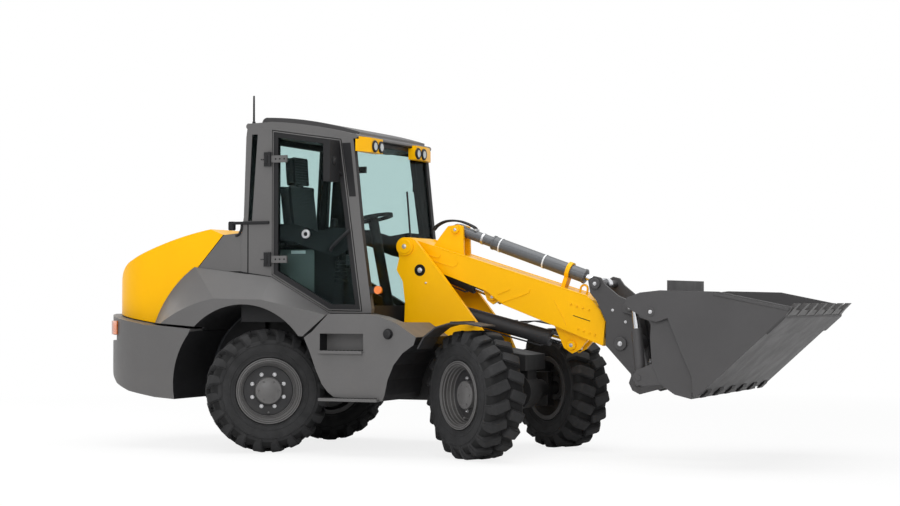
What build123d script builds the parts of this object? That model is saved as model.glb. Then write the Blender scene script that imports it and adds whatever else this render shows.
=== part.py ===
import os
from math import atan2, cos, hypot, radians, sin

from build123d import *

os.makedirs("parts", exist_ok=True)

# Telescopic handler with four-wheel steering, millimetres, +X forward, +Y left, +Z up.
# Side-view outlines are (x from the rear axle, z above the ground).

# Wheels and axles
TYRE_RADIUS = 522.0
TYRE_WIDTH = 370.0
RIM_RADIUS = 277.0
BEAD_RADIUS = 256.0
RIM_WIDTH = 330.0
WHEELBASE = 2100.0
TRACK = 1540.0
KINGPIN_OFFSET = 165.0
STEER_REST = 34.0
AXLE_TUBE_RADIUS = 80.0
KNUCKLE_RADIUS = 62.0
KINGPIN_RADIUS = 28.0
FORK_GAP = 100.5
FORK_PLATE = 44.5

# Body widths, measured from the middle plane
FRAME_HALF = 230.0
CAB_HALF = 745.0
CAB_WALL = 55.0
FENDER_DEPTH = 185.0
BOOM_HALF = 160.0
BUCKET_HALF = 985.0

# Pins of the loader arm
BOOM_PIVOT = (1162.0, 1742.0)
LIFT_PIN = (1580.0, 1170.0)
LIFT_EYE = (2600.0, 914.0)
COMP_PIN = (1297.0, 1540.0)
COMP_EYE = (1890.0, 1312.0)
TILT_PIN = (1548.0, 1885.0)
TILT_EYE = (2865.0, 1420.0)
COUPLER_PIN = (3080.0, 934.0)
HOOK_BAR = (3175.0, 1225.0)
LOCK_PIN = (3240.0, 625.0)
CLAM_PIN = (3563.0, 1197.0)
CLAM_EYE = (3400.0, 1262.0)
CLAM_FOOT = (3450.0, 690.0)
CLAM_CYLINDER_Y = 875.0

# Ends of the machine, from the rear axle
REAR_END = -1620.0
TOOTH_TIP = (4700.0, 1262.0)

# Fits
RUNNING = 0.05
SEAT = 0.3
CLEAR = 6.0

AXLE_Z = TYRE_RADIUS
BODY_HALF = CAB_HALF + FENDER_DEPTH
HOOD_HALF = CAB_HALF - 10.0
KINGPIN_Y = TRACK / 2 - KINGPIN_OFFSET
REAR_AXLE_X = -(TOOTH_TIP[0] + REAR_END) / 2
BOOM_ANGLE = atan2(TILT_EYE[1] - TILT_PIN[1], TILT_EYE[0] - TILT_PIN[0])

# Wheels: name, axle x, side (-1 right, 1 left), steering angle at rest
WHEELS = (
    ("front_right", WHEELBASE, -1, -STEER_REST),
    ("front_left", WHEELBASE, 1, -STEER_REST),
    ("rear_right", 0.0, -1, STEER_REST),
    ("rear_left", 0.0, 1, STEER_REST),
)
SIDES = (-1, 1)


def placed(points):
    """Outline points moved from the rear axle to the model's origin."""
    return [(REAR_AXLE_X + x, z) for x, z in points]


def side_plane(y):
    """Plane of a side view at one y; its normal points to the right."""
    return Plane(origin=(0, y, 0), x_dir=(1, 0, 0), z_dir=(0, -1, 0))


def plate(points, y_a, y_b):
    """Plate with a side-view outline between two y values."""
    low, high = min(y_a, y_b), max(y_a, y_b)
    with BuildPart() as made:
        with BuildSketch(side_plane(high)):
            with BuildLine():
                Polyline(*placed(points), close=True)
            make_face()
        extrude(amount=high - low)
    return made.part


def curved(start, steps, y_a, y_b):
    """Plate whose outline has lines (x, z to) and arcs (x, z through, x, z to)."""
    low, high = min(y_a, y_b), max(y_a, y_b)
    with BuildPart() as made:
        with BuildSketch(side_plane(high)):
            with BuildLine():
                trace(start, steps)
            make_face()
        extrude(amount=high - low)
    return made.part


def trace(start, steps):
    """Closed outline of lines and arcs in the line block that is open."""
    here = start
    for step in steps + [start]:
        there = step[-2:]
        if len(step) == 2:
            Line(*placed([here, there]))
        else:
            ThreePointArc(*placed([here, step[:2], there]))
        here = there


def cross_pin(centre, radius, y_a, y_b):
    """Round bar along y."""
    low, high = min(y_a, y_b), max(y_a, y_b)
    with BuildPart() as made:
        with BuildSketch(side_plane(high)):
            with Locations(placed([centre])[0]):
                Circle(radius)
        extrude(amount=high - low)
    return made.part


def block(x_a, x_b, y_a, y_b, z_a, z_b):
    """Box between two corners; x is from the rear axle."""
    with BuildPart() as made:
        with BuildSketch(Plane.XY.offset(z_a)):
            with Locations((REAR_AXLE_X + (x_a + x_b) / 2, (y_a + y_b) / 2)):
                Rectangle(abs(x_b - x_a), abs(y_b - y_a))
        extrude(amount=z_b - z_a)
    return made.part


def along(start, angle, distance, rise=0.0):
    """Point at a distance along a side-view direction, and a rise across it."""
    x = start[0] + distance * cos(angle) - rise * sin(angle)
    z = start[1] + distance * sin(angle) + rise * cos(angle)
    return (x, z)


def ram(start, angle, s_a, s_b, radius, y=0.0):
    """Round bar in the side-view plane, from one distance to another."""
    x, z = along(start, angle, s_a)
    direction = (cos(angle), 0, sin(angle))
    with BuildPart() as made:
        with BuildSketch(Plane(origin=(REAR_AXLE_X + x, y, z), x_dir=(0, 1, 0), z_dir=direction)):
            Circle(radius)
        extrude(amount=s_b - s_a)
    return made.part


def lean(start, angle, s_a, s_b, n_a, n_b, half):
    """Box that lies along a side-view direction."""
    corners = [along(start, angle, s, n) for s, n in ((s_a, n_a), (s_b, n_a), (s_b, n_b), (s_a, n_b))]
    return plate(corners, -half, half)


def band(points, thick):
    """Outline of a bent sheet: the points and a copy set off to their left."""
    shifted = []
    for i, (x, z) in enumerate(points):
        ax, az = points[max(i - 1, 0)]
        bx, bz = points[min(i + 1, len(points) - 1)]
        length = hypot(bx - ax, bz - az)
        shifted.append((x - thick * (bz - az) / length, z + thick * (bx - ax) / length))
    return points + shifted[::-1]


def angle_of(a, b):
    """Side-view direction from one point to another."""
    return atan2(b[1] - a[1], b[0] - a[0])


def gap_of(a, b):
    """Distance between two points."""
    return hypot(b[0] - a[0], b[1] - a[1])


def wheel_axes(axle_x, side, steer):
    """Kingpin, outward axis and wheel centre of one steered wheel."""
    turn = radians(steer)
    outward = Vector(-side * sin(turn), side * cos(turn), 0)
    kingpin = Vector(REAR_AXLE_X + axle_x, side * KINGPIN_Y, AXLE_Z)
    return kingpin, outward, kingpin + outward * KINGPIN_OFFSET


def section_plane(centre, outward):
    """Plane through a wheel's axis: local x outward, local y up."""
    return Plane(origin=centre, x_dir=outward, z_dir=outward.cross(Vector(0, 0, 1)))


# Tyre carcass, lug and rim sections: (outward from the wheel's middle, radius)
FACETS = 20
LUGS = 20
LUG_SLANT = radians(20.0)
LUG_HALF = 25.0
LUG_MIDDLE = 92.0
BEAD_EDGE = RIM_RADIUS / cos(radians(180.0 / FACETS)) + 1.0
CARCASS = [
    (-150.0, BEAD_EDGE), (-TYRE_WIDTH / 2 + 8, 387.0), (-146.0, TYRE_RADIUS - 36), (146.0, TYRE_RADIUS - 36),
    (TYRE_WIDTH / 2 - 8, 387.0), (150.0, BEAD_EDGE),
]
LUG_TOP = TYRE_RADIUS - 2.2
LUG_SECTION = [(6.0, 460.0), (6.0, LUG_TOP), (134.0, LUG_TOP), (178.0, 415.0), (140.0, 415.0)]
FLANGE = RIM_WIDTH / 2
RIM_SECTION = [
    (FLANGE, RIM_RADIUS), (FLANGE, 243.0), (120.0, 236.0), (60.0, 214.0), (40.0, 205.0), (40.0, 128.0),
    (48.0, 90.0), (92.0, 84.0), (96.0, 0.0), (-60.0, 0.0), (-60.0, 105.0), (16.0, 105.0), (16.0, 225.0),
    (-FLANGE, 240.0), (-FLANGE, RIM_RADIUS), (-150.3, RIM_RADIUS), (-150.3, BEAD_RADIUS - SEAT),
    (150.3, BEAD_RADIUS - SEAT), (150.3, RIM_RADIUS),
]


def lug_planes(centre, outward, row):
    """Planes of one row of slanted tread lugs; the rows stand half a pitch apart."""
    planes = []
    ahead = Vector(0, 0, 1).cross(outward)
    for lug in range(LUGS):
        turn = radians(180.0 + (lug + (row + 1) / 4) * 360.0 / LUGS)
        radial = Vector(0, 0, 1) * cos(turn) + ahead * sin(turn)
        tangent = radial.cross(outward)
        bar = outward * (row * cos(LUG_SLANT)) + tangent * sin(LUG_SLANT)
        middle = centre - tangent * (LUG_MIDDLE * sin(LUG_SLANT))
        planes.append(Plane(origin=middle, x_dir=bar, z_dir=bar.cross(radial)))
    return planes


for wheel_name, axle_x, side, steer in WHEELS:
    kingpin, outward, centre = wheel_axes(axle_x, side, steer)
    spin = Axis(origin=centre, direction=outward)

    with BuildPart() as tyre:
        for reach, radius in CARCASS:
            with BuildSketch(Plane(origin=centre + outward * reach, x_dir=(0, 0, 1), z_dir=outward)):
                RegularPolygon(radius, FACETS, rotation=180.0 / FACETS)
        loft(ruled=True)
        with BuildSketch(Plane(origin=centre - outward * 160, x_dir=(0, 0, 1), z_dir=outward)):
            RegularPolygon(BEAD_RADIUS, FACETS, major_radius=False, rotation=180.0 / FACETS)
        extrude(amount=320, mode=Mode.SUBTRACT)
        for row in SIDES:
            with BuildSketch(*lug_planes(centre, outward, row)):
                with BuildLine():
                    Polyline(*[(reach / cos(LUG_SLANT), radius) for reach, radius in LUG_SECTION], close=True)
                make_face()
            extrude(amount=LUG_HALF, both=True)
    tyre.part.label = "tyre_" + wheel_name
    export_step(tyre.part, "parts/tyre_" + wheel_name + ".step")

    with BuildPart() as rim:
        with BuildSketch(section_plane(centre, outward)):
            with BuildLine():
                Polyline(*RIM_SECTION, close=True)
            make_face()
        revolve(axis=spin)
    rim.part.label = "rim_" + wheel_name
    export_step(rim.part, "parts/rim_" + wheel_name + ".step")

    with BuildPart() as knuckle:
        with BuildSketch(Plane(origin=kingpin - Vector(0, 0, FORK_GAP - 0.5))):
            Circle(KNUCKLE_RADIUS)
        extrude(amount=2 * FORK_GAP - 1.0)
        with BuildSketch(Plane(origin=kingpin - Vector(0, 0, FORK_GAP + FORK_PLATE))):
            Circle(KINGPIN_RADIUS)
        extrude(amount=2 * (FORK_GAP + FORK_PLATE))
        with BuildSketch(Plane(origin=kingpin, x_dir=(0, 0, 1), z_dir=outward)):
            Circle(KNUCKLE_RADIUS - 4)
        extrude(amount=KINGPIN_OFFSET - 60 - SEAT)
    knuckle.part.label = "knuckle_" + wheel_name
    export_step(knuckle.part, "parts/knuckle_" + wheel_name + ".step")

# Axles: name, x; beam with centre housing, seat on the frame and forked ends
AXLE_SEAT_Z = 700.0
for axle_name, axle_x in (("front_axle", WHEELBASE), ("rear_axle", 0.0)):
    with BuildPart() as axle:
        add(cross_pin((axle_x, AXLE_Z), AXLE_TUBE_RADIUS, -KINGPIN_Y + 95, KINGPIN_Y - 95))
        add(cross_pin((axle_x, AXLE_Z), 150, -130, 130))
        add(block(axle_x - 110, axle_x + 110, -100, 100, AXLE_Z, AXLE_SEAT_Z))
        for side in SIDES:
            add(block(axle_x - 70, axle_x + 70, side * (KINGPIN_Y - 135), side * (KINGPIN_Y - 95),
                      AXLE_Z - FORK_GAP - FORK_PLATE, AXLE_Z + FORK_GAP + FORK_PLATE))
            for level in (AXLE_Z + FORK_GAP, AXLE_Z - FORK_GAP - FORK_PLATE):
                add(block(axle_x - 70, axle_x + 70, side * (KINGPIN_Y - 95), side * KINGPIN_Y,
                          level, level + FORK_PLATE))
                with BuildSketch(Plane.XY.offset(level)):
                    with Locations((REAR_AXLE_X + axle_x, side * KINGPIN_Y)):
                        Circle(70)
                extrude(amount=FORK_PLATE)
                with BuildSketch(Plane.XY.offset(level)):
                    with Locations((REAR_AXLE_X + axle_x, side * KINGPIN_Y)):
                        Circle(KINGPIN_RADIUS + RUNNING)
                extrude(amount=FORK_PLATE, mode=Mode.SUBTRACT)
    axle.part.label = axle_name
    export_step(axle.part, "parts/" + axle_name + ".step")

# Chassis frame
DECK_Z = 1100.0
ENGINE_Z = 760.0
FRAME_OUTLINE = [
    (-1300, 560), (-1300, ENGINE_Z), (-300, ENGINE_Z), (-300, DECK_Z), (1090, DECK_Z), (1150, 880),
    (WHEELBASE - 150, 880), (WHEELBASE + 140, 830), (WHEELBASE + 140, AXLE_SEAT_Z),
    (WHEELBASE - 230, AXLE_SEAT_Z), (WHEELBASE - 230, 440), (230, 440), (230, AXLE_SEAT_Z),
    (-230, AXLE_SEAT_Z), (-230, 560),
]
with BuildPart() as chassis_frame:
    add(plate(FRAME_OUTLINE, -FRAME_HALF, FRAME_HALF))
chassis_frame.part.label = "chassis_frame"
export_step(chassis_frame.part, "parts/chassis_frame.step")

# Boom tower: two plates, cross plate and the three pins
TOWER_PLATE = 40.0
TOWER_OUT = FRAME_HALF + TOWER_PLATE
TOWER_OUTLINE = [
    (1094, 1720), (1102, 1643), (1078, 1544), (1136, 1445), (1158, 1262), (1150, 1055), (1165, 870), (1960, 870),
    (1904, 995), (1798, 1126), (1490, 1514), (1251, 1795), (1200, 1818), (1150, 1818), (1105, 1790),
]
BOOM_PIN_RADIUS = 40.0
LIFT_PIN_RADIUS = 35.0
COMP_PIN_RADIUS = 25.0
with BuildPart() as boom_tower:
    for side in SIDES:
        add(plate(TOWER_OUTLINE, side * FRAME_HALF, side * TOWER_OUT))
        add(cross_pin(BOOM_PIVOT, 78, side * TOWER_OUT, side * (TOWER_OUT + 18)))
    add(plate([(1165, 880), (1190, 880), (1190, 1480), (1165, 1480)], -FRAME_HALF, FRAME_HALF))
    add(cross_pin(BOOM_PIVOT, BOOM_PIN_RADIUS, -TOWER_OUT, TOWER_OUT))
    add(cross_pin(LIFT_PIN, LIFT_PIN_RADIUS, -TOWER_OUT, TOWER_OUT))
    add(cross_pin(COMP_PIN, COMP_PIN_RADIUS, -TOWER_OUT, TOWER_OUT))
boom_tower.part.label = "boom_tower"
export_step(boom_tower.part, "parts/boom_tower.step")

# Outer boom with its brackets, guide ring and wear pads
BOOM_OUTLINE = [
    (1120, 1800), (1182, 1808), (1342, 1755), (2760, 1318), (2801, 1287), (2870, 1197), (2913, 1107),
    (2895, 911), (2010, 1249), (1859, 1362), (1416, 1524), (1285, 1628), (1120, 1690),
]
TILT_BRACKET = [(1330, 1740), (1417, 1850), (1473, 1917), (1566, 1930), (1613, 1915), (1622, 1660)]
COMP_BRACKET = [(1790, 1400), (1838, 1285), (1890, 1250), (1945, 1280), (1990, 1320), (1990, 1400)]
LIFT_BRACKET = [(2430, 1110), (2530, 890), (2600, 845), (2670, 880), (2780, 1000)]
COMP_GROOVE = [
    (1250, 1690), (1330, 1625), (1420, 1572), (1700, 1472), (1945, 1395), (1965, 1240), (1250, 1240),
]
TUBE_BOTTOM, TUBE_TOP = -403.0, -193.0
TUBE_HALF = 120.0
TUBE_REAR, TUBE_FRONT = 655.0, 1650.0
BORE_GAP = 10.0
RING_A, RING_B = 1045.0, 1080.0
SLEEVE_RADIUS = 58.0
with BuildPart() as boom_outer:
    add(plate(BOOM_OUTLINE, -BOOM_HALF, BOOM_HALF))
    add(plate(COMP_GROOVE, -55, 55), mode=Mode.SUBTRACT)
    add(cross_pin(BOOM_PIVOT, 80, -FRAME_HALF + 5, FRAME_HALF - 5))
    for side in SIDES:
        add(plate(TILT_BRACKET, side * 55, side * 80))
        add(plate(COMP_BRACKET, side * 60, side * 85))
        add(plate(LIFT_BRACKET, side * 62, side * 92))
        add(cross_pin(COMP_EYE, 24, side * 50, side * 100))
        add(cross_pin(LIFT_EYE, 32, side * 56, side * 108))
    add(cross_pin(TILT_PIN, 26, -95, 95))
    add(ram(TILT_PIN, BOOM_ANGLE, RING_A, RING_B, SLEEVE_RADIUS + 16))
    add(lean(TILT_PIN, BOOM_ANGLE, RING_A, RING_B, -170, 0, 45))
    add(ram(TILT_PIN, BOOM_ANGLE, RING_A - 5, RING_B + 5, SLEEVE_RADIUS + SEAT), mode=Mode.SUBTRACT)
    add(cross_pin(BOOM_PIVOT, BOOM_PIN_RADIUS + RUNNING, -FRAME_HALF, FRAME_HALF), mode=Mode.SUBTRACT)
    add(lean(TILT_PIN, BOOM_ANGLE, TUBE_REAR - 15, TUBE_FRONT + 200, TUBE_BOTTOM - BORE_GAP, TUBE_TOP + BORE_GAP,
             TUBE_HALF + BORE_GAP), mode=Mode.SUBTRACT)
    for low, high in ((TUBE_BOTTOM - BORE_GAP, TUBE_BOTTOM - 0.5), (TUBE_TOP + 0.5, TUBE_TOP + BORE_GAP)):
        add(lean(TILT_PIN, BOOM_ANGLE, 1330, 1420, low, high, TUBE_HALF - 20))
boom_outer.part.label = "boom_outer"
export_step(boom_outer.part, "parts/boom_outer.step")

# Inner boom: tube and head with the coupler's bearing
HEAD_OUTLINE = [(2870, 1010), (3060, 862), (3140, 880), (3150, 990), (3045, 1150), (2960, 1170)]
COUPLER_PIN_RADIUS = 40.0
HEAD_HALF = 215.0
with BuildPart() as boom_inner:
    add(lean(TILT_PIN, BOOM_ANGLE, TUBE_REAR, TUBE_FRONT, TUBE_BOTTOM, TUBE_TOP, TUBE_HALF))
    add(lean(TILT_PIN, BOOM_ANGLE, TUBE_REAR, TUBE_FRONT - 120, TUBE_BOTTOM + 12, TUBE_TOP - 12, TUBE_HALF - 12),
        mode=Mode.SUBTRACT)
    add(plate(HEAD_OUTLINE, -TUBE_HALF, TUBE_HALF))
    add(cross_pin(COUPLER_PIN, 78, -HEAD_HALF, HEAD_HALF))
    add(cross_pin(COUPLER_PIN, COUPLER_PIN_RADIUS + RUNNING, -HEAD_HALF, HEAD_HALF), mode=Mode.SUBTRACT)
boom_inner.part.label = "boom_inner"
export_step(boom_inner.part, "parts/boom_inner.step")

# Tilt cylinder in three stages on the boom's top
STAGE_RADIUS = 45.0
TILT_ROD_RADIUS = 26.0
SLEEVE_REAR, SLEEVE_FRONT = 330.0, 1215.0
with BuildPart() as tilt_tube:
    add(ram(TILT_PIN, BOOM_ANGLE, 30, 1180, STAGE_RADIUS))
    add(cross_pin(TILT_PIN, 52, -48, 48))
    add(cross_pin(TILT_PIN, 26 + SEAT, -60, 60), mode=Mode.SUBTRACT)
    add(ram(TILT_PIN, BOOM_ANGLE, 370, 1200, TILT_ROD_RADIUS + 5), mode=Mode.SUBTRACT)
tilt_tube.part.label = "tilt_tube"
export_step(tilt_tube.part, "parts/tilt_tube.step")

with BuildPart() as tilt_sleeve:
    add(ram(TILT_PIN, BOOM_ANGLE, SLEEVE_REAR, SLEEVE_FRONT, SLEEVE_RADIUS))
    add(ram(TILT_PIN, BOOM_ANGLE, SLEEVE_REAR, SLEEVE_FRONT - 30, STAGE_RADIUS + SEAT), mode=Mode.SUBTRACT)
    add(ram(TILT_PIN, BOOM_ANGLE, SLEEVE_FRONT - 40, SLEEVE_FRONT, TILT_ROD_RADIUS + SEAT), mode=Mode.SUBTRACT)
tilt_sleeve.part.label = "tilt_sleeve"
export_step(tilt_sleeve.part, "parts/tilt_sleeve.step")

TILT_LENGTH = gap_of(TILT_PIN, TILT_EYE)
with BuildPart() as tilt_rod:
    add(ram(TILT_PIN, BOOM_ANGLE, 400, TILT_LENGTH - 30, TILT_ROD_RADIUS))
    add(cross_pin(TILT_EYE, 48, -44, 44))
tilt_rod.part.label = "tilt_rod"
export_step(tilt_rod.part, "parts/tilt_rod.step")

# Lift and compensation cylinders: name, foot, eye, pin radius, eye half width, bore, barrel radius, rod radius,
# barrel end, rod start
CYLINDERS = (
    ("lift", LIFT_PIN, LIFT_EYE, LIFT_PIN_RADIUS, 48.0, 46.0, 66.0, 36.0, 830.0, 135.0),
    ("comp", COMP_PIN, COMP_EYE, COMP_PIN_RADIUS, 42.0, 32.0, 46.0, 25.0, 430.0, 150.0),
)
for ram_name, foot, eye, pin, half, bore, barrel_r, rod_r, barrel_end, rod_start in CYLINDERS:
    angle = angle_of(foot, eye)
    length = gap_of(foot, eye)
    with BuildPart() as barrel:
        add(ram(foot, angle, pin + 8, barrel_end, barrel_r))
        add(cross_pin(foot, pin + 27, -half, half))
        add(cross_pin(foot, pin + RUNNING, -half, half), mode=Mode.SUBTRACT)
        add(ram(foot, angle, pin + 40, barrel_end - 40, bore), mode=Mode.SUBTRACT)
        add(ram(foot, angle, barrel_end - 50, barrel_end, rod_r + SEAT), mode=Mode.SUBTRACT)
    barrel.part.label = ram_name + "_barrel"
    export_step(barrel.part, "parts/" + ram_name + "_barrel.step")

    with BuildPart() as rod:
        add(ram(foot, angle, rod_start, length - 20, rod_r))
        add(cross_pin(eye, rod_r + 22, -half, half))
    rod.part.label = ram_name + "_rod"
    export_step(rod.part, "parts/" + ram_name + "_rod.step")

# Coupler: two dog-leg plates, coupler pin, hook bar, lock pin and a stiffener
COUPLER_IN, COUPLER_OUT = 225.0, 255.0
COUPLER_OUTLINE = [
    (2800, 1452), (2818, 1344), (2871, 1283), (2955, 1108), (2950, 920), (3165, 690), (3175, 590), (3235, 545),
    (3300, 575), (3325, 690), (3250, 980), (3225, 1240), (3160, 1280), (3060, 1320), (2945, 1413), (2905, 1469),
    (2850, 1482),
]
BAR_RADIUS = 32.0
EAR_OUT = 295.0
with BuildPart() as coupler:
    for side in SIDES:
        add(plate(COUPLER_OUTLINE, side * COUPLER_IN, side * COUPLER_OUT))
        add(cross_pin(TILT_EYE, BAR_RADIUS, side * 50, side * (COUPLER_OUT + 16)))
    add(cross_pin(COUPLER_PIN, COUPLER_PIN_RADIUS, -COUPLER_OUT - 16, COUPLER_OUT + 16))
    add(cross_pin(HOOK_BAR, BAR_RADIUS, -EAR_OUT - 18, EAR_OUT + 18))
    add(cross_pin(LOCK_PIN, BAR_RADIUS, -EAR_OUT - 18, EAR_OUT + 18))
    add(plate([(3190, 700), (3285, 700), (3270, 770), (3175, 770)], -COUPLER_IN, COUPLER_IN))
coupler.part.label = "coupler"
export_step(coupler.part, "parts/coupler.step")

# Bucket back: moldboard, end cheeks, hanger ears, spill guard and lugs for the clam cylinders
BACK_OUTLINE = [(3590, 1345), (3560, 1200), (3547, 1000), (3560, 800), (3620, 650), (3740, 568), (3872, 536)]
BACK_SHEET = 22.0
CHEEK_OUT, CHEEK_IN = 945.0, 915.0
CHEEK_OUTLINE = BACK_OUTLINE + [(3880, 598), (3938, 664), (3890, 780), (3800, 1000), (3720, 1250), (3700, 1345)]
EAR_OUTLINE = [
    (3585, 1335), (3440, 1345), (3200, 1300), (3110, 1250), (3110, 1190), (3200, 1165), (3330, 1120), (3420, 900),
    (3350, 720), (3185, 690), (3160, 620), (3190, 560), (3250, 530), (3400, 570), (3640, 640),
    (3560, 800), (3547, 1000), (3560, 1200),
]
LUG_OUTLINE = [(3560, 800), (3430, 745), (3400, 690), (3430, 640), (3480, 630), (3632, 640), (3620, 650)]
with BuildPart() as bucket_back:
    add(plate(band(BACK_OUTLINE, BACK_SHEET), -CHEEK_OUT, CHEEK_OUT))
    add(plate([(3540, 1340), (3562, 1340), (3562, 1443), (3540, 1443)], -480, 480))
    add(plate([(3540, 1330), (3595, 1330), (3590, 1345), (3540, 1345)], -CHEEK_OUT, CHEEK_OUT))
    for side in SIDES:
        add(plate(CHEEK_OUTLINE, side * CHEEK_IN, side * CHEEK_OUT))
        add(plate(EAR_OUTLINE, side * (COUPLER_OUT + 5), side * EAR_OUT))
        for lug in (CLAM_CYLINDER_Y - 65, CLAM_CYLINDER_Y + 45):
            add(plate(LUG_OUTLINE, side * lug, side * (lug + 20)))
        add(cross_pin(CLAM_FOOT, 22, side * (CLAM_CYLINDER_Y - 70), side * (CLAM_CYLINDER_Y + 70)))
        add(cross_pin(CLAM_PIN, 62, side * CHEEK_IN, side * CHEEK_OUT))
        add(cross_pin(CLAM_PIN, 35 + RUNNING, side * CHEEK_IN, side * CHEEK_OUT), mode=Mode.SUBTRACT)
        for bar in (HOOK_BAR, LOCK_PIN):
            add(cross_pin(bar, BAR_RADIUS + SEAT, side * COUPLER_OUT, side * EAR_OUT), mode=Mode.SUBTRACT)
bucket_back.part.label = "bucket_back"
export_step(bucket_back.part, "parts/bucket_back.step")

# Bucket clam: side plates, floor, cutting edge and teeth
CLAM_IN = 955.0
CLAM_OUTLINE = [
    (3893, 556), (3951, 575), (4603, 1167), (4660, 1236), (4094, 1351), (3640, 1362), (3480, 1345), (3375, 1306),
    (3356, 1255), (3400, 1216), (3530, 1140), (3610, 1120), (3700, 1150), (3800, 900), (3890, 700),
]
FLOOR_OUTLINE = [(3893, 556), (3951, 575), (4603, 1167), (4640, 1212), (4590, 1195), (3940, 604), (3893, 582)]
TOOTH_OUTLINE = [(4560, 1120), TOOTH_TIP, (4660, 1262), (4540, 1166)]
TOOTH_COUNT = 7
TOOTH_PITCH = 300.0
TOOTH_HALF = 38.0
with BuildPart() as bucket_clam:
    add(plate(FLOOR_OUTLINE, -BUCKET_HALF, BUCKET_HALF))
    for side in SIDES:
        add(plate(CLAM_OUTLINE, side * CLAM_IN, side * BUCKET_HALF))
        add(cross_pin(CLAM_PIN, 35, side * CHEEK_IN, side * BUCKET_HALF))
        add(cross_pin(CLAM_EYE, 22, side * (CLAM_CYLINDER_Y + 45), side * CLAM_IN))
    for tooth in range(TOOTH_COUNT):
        middle = (tooth - (TOOTH_COUNT - 1) / 2) * TOOTH_PITCH
        add(plate(TOOTH_OUTLINE, middle - TOOTH_HALF, middle + TOOTH_HALF))
bucket_clam.part.label = "bucket_clam"
export_step(bucket_clam.part, "parts/bucket_clam.step")

# Clam cylinders, one behind each end of the bucket
CLAM_ANGLE = angle_of(CLAM_FOOT, CLAM_EYE)
CLAM_LENGTH = gap_of(CLAM_FOOT, CLAM_EYE)
with BuildPart() as clam_barrels:
    for side in SIDES:
        middle = side * CLAM_CYLINDER_Y
        add(ram(CLAM_FOOT, CLAM_ANGLE, 32, 380, 42, middle))
        add(cross_pin(CLAM_FOOT, 42, middle - 34, middle + 34))
        add(cross_pin(CLAM_FOOT, 22 + SEAT, middle - 34, middle + 34), mode=Mode.SUBTRACT)
        add(ram(CLAM_FOOT, CLAM_ANGLE, 60, 360, 30, middle), mode=Mode.SUBTRACT)
        add(ram(CLAM_FOOT, CLAM_ANGLE, 340, 380, 24 + SEAT, middle), mode=Mode.SUBTRACT)
clam_barrels.part.label = "clam_barrels"
export_step(clam_barrels.part, "parts/clam_barrels.step")

with BuildPart() as clam_rods:
    for side in SIDES:
        middle = side * CLAM_CYLINDER_Y
        add(ram(CLAM_FOOT, CLAM_ANGLE, 215, CLAM_LENGTH - 20, 24, middle))
        add(cross_pin(CLAM_EYE, 38, middle - 38, middle + 38))
clam_rods.part.label = "clam_rods"
export_step(clam_rods.part, "parts/clam_rods.step")

# Rear body: fenders, tanks, counterweight, deck, hood and engine
ARCH_CENTRE = (-50.0, 570.0)
ARCH_RADIUS = 680.0
LINER = 12.0


def arch_liner(side):
    """Bent sheet over one rear wheel, from the fender in to the engine bay."""
    with BuildPart() as made:
        add(cross_pin(ARCH_CENTRE, ARCH_RADIUS + LINER, side * (FRAME_HALF + 60), side * (CAB_HALF + 4)))
        add(block(-552, -180, side * FRAME_HALF, side * BODY_HALF, 900, 1400), mode=Mode.INTERSECT)
    return made.part


# Fender sections: y, start, then lines (x, z to) and arcs (x, z through, x, z to)
FENDER_SECTIONS = (
    (CAB_HALF, (-1033, 1085), [(-862, 1369, -632, 1572), (126, 1483), (690, 1172), (524, 985)]),
    (BODY_HALF, (-861, 1085), [(-628, 1214, -330, 1300), (130, 1290), (748, 1165), (524, 985)]),
)
with BuildPart() as rear_fenders:
    for side in SIDES:
        for y, start, steps in FENDER_SECTIONS:
            with BuildSketch(side_plane(side * y)):
                with BuildLine():
                    trace(start, steps)
                make_face()
        loft(ruled=True)
        add(arch_liner(side))
        add(cross_pin(ARCH_CENTRE, ARCH_RADIUS, side * (FRAME_HALF + 50), side * (BODY_HALF + 5)),
            mode=Mode.SUBTRACT)
rear_fenders.part.label = "rear_fenders"
export_step(rear_fenders.part, "parts/rear_fenders.step")

TANK_OUTLINE = [
    (540, 975), (596, 855), (653, 707), (709, 592), (765, 527), (821, 487), (WHEELBASE - 834, 463),
    (WHEELBASE - 815, 512), (WHEELBASE - 788, 635), (WHEELBASE - 734, 758), (WHEELBASE - 653, 856),
    (WHEELBASE - 555, 922), (WHEELBASE - 533, 986), (WHEELBASE - 713, 1100), (1242, 1150), (1123, 1172),
    (766, 1172), (615, 1026),
]
# Steps: x from, x to, tread z, depth beyond the tank
STEPS = ((690.0, 1090.0, 845.0, 30.0), (700.0, 1235.0, 455.0, 50.0))
TANK_TOP = 1098.0
with BuildPart() as side_tanks:
    for side in SIDES:
        add(plate(TANK_OUTLINE, side * FRAME_HALF, side * BODY_HALF))
        add(block(400, 1600, side * FRAME_HALF, side * (CAB_HALF + 2), TANK_TOP, 1300), mode=Mode.SUBTRACT)
        add(block(1060, 1600, side * FRAME_HALF, side * (TOWER_OUT + 5), 850, 1300), mode=Mode.SUBTRACT)
        add(block(690, 1090, side * (BODY_HALF - 130), side * (BODY_HALF + 10), 870, 1010), mode=Mode.SUBTRACT)
        for x_a, x_b, tread, out in STEPS:
            add(block(x_a, x_b, side * (BODY_HALF - 60), side * (BODY_HALF + out), tread, tread + 25))
side_tanks.part.label = "side_tanks"
export_step(side_tanks.part, "parts/side_tanks.step")

WEIGHT_START = (-560, 1040)
WEIGHT_STEPS = [
    (-861, 1066), (-1033, 1072), (-1050, 1080), (-1600, 1164), (REAR_END, 1120), (REAR_END, 850),
    (-1590, 784), (-1480, 627), (-1380, 559), (-1200, 500), (-913, 451), (-620, 431),
]
WEIGHT_CORNER = 600.0
HOOD_CORNER = 450.0


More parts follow.
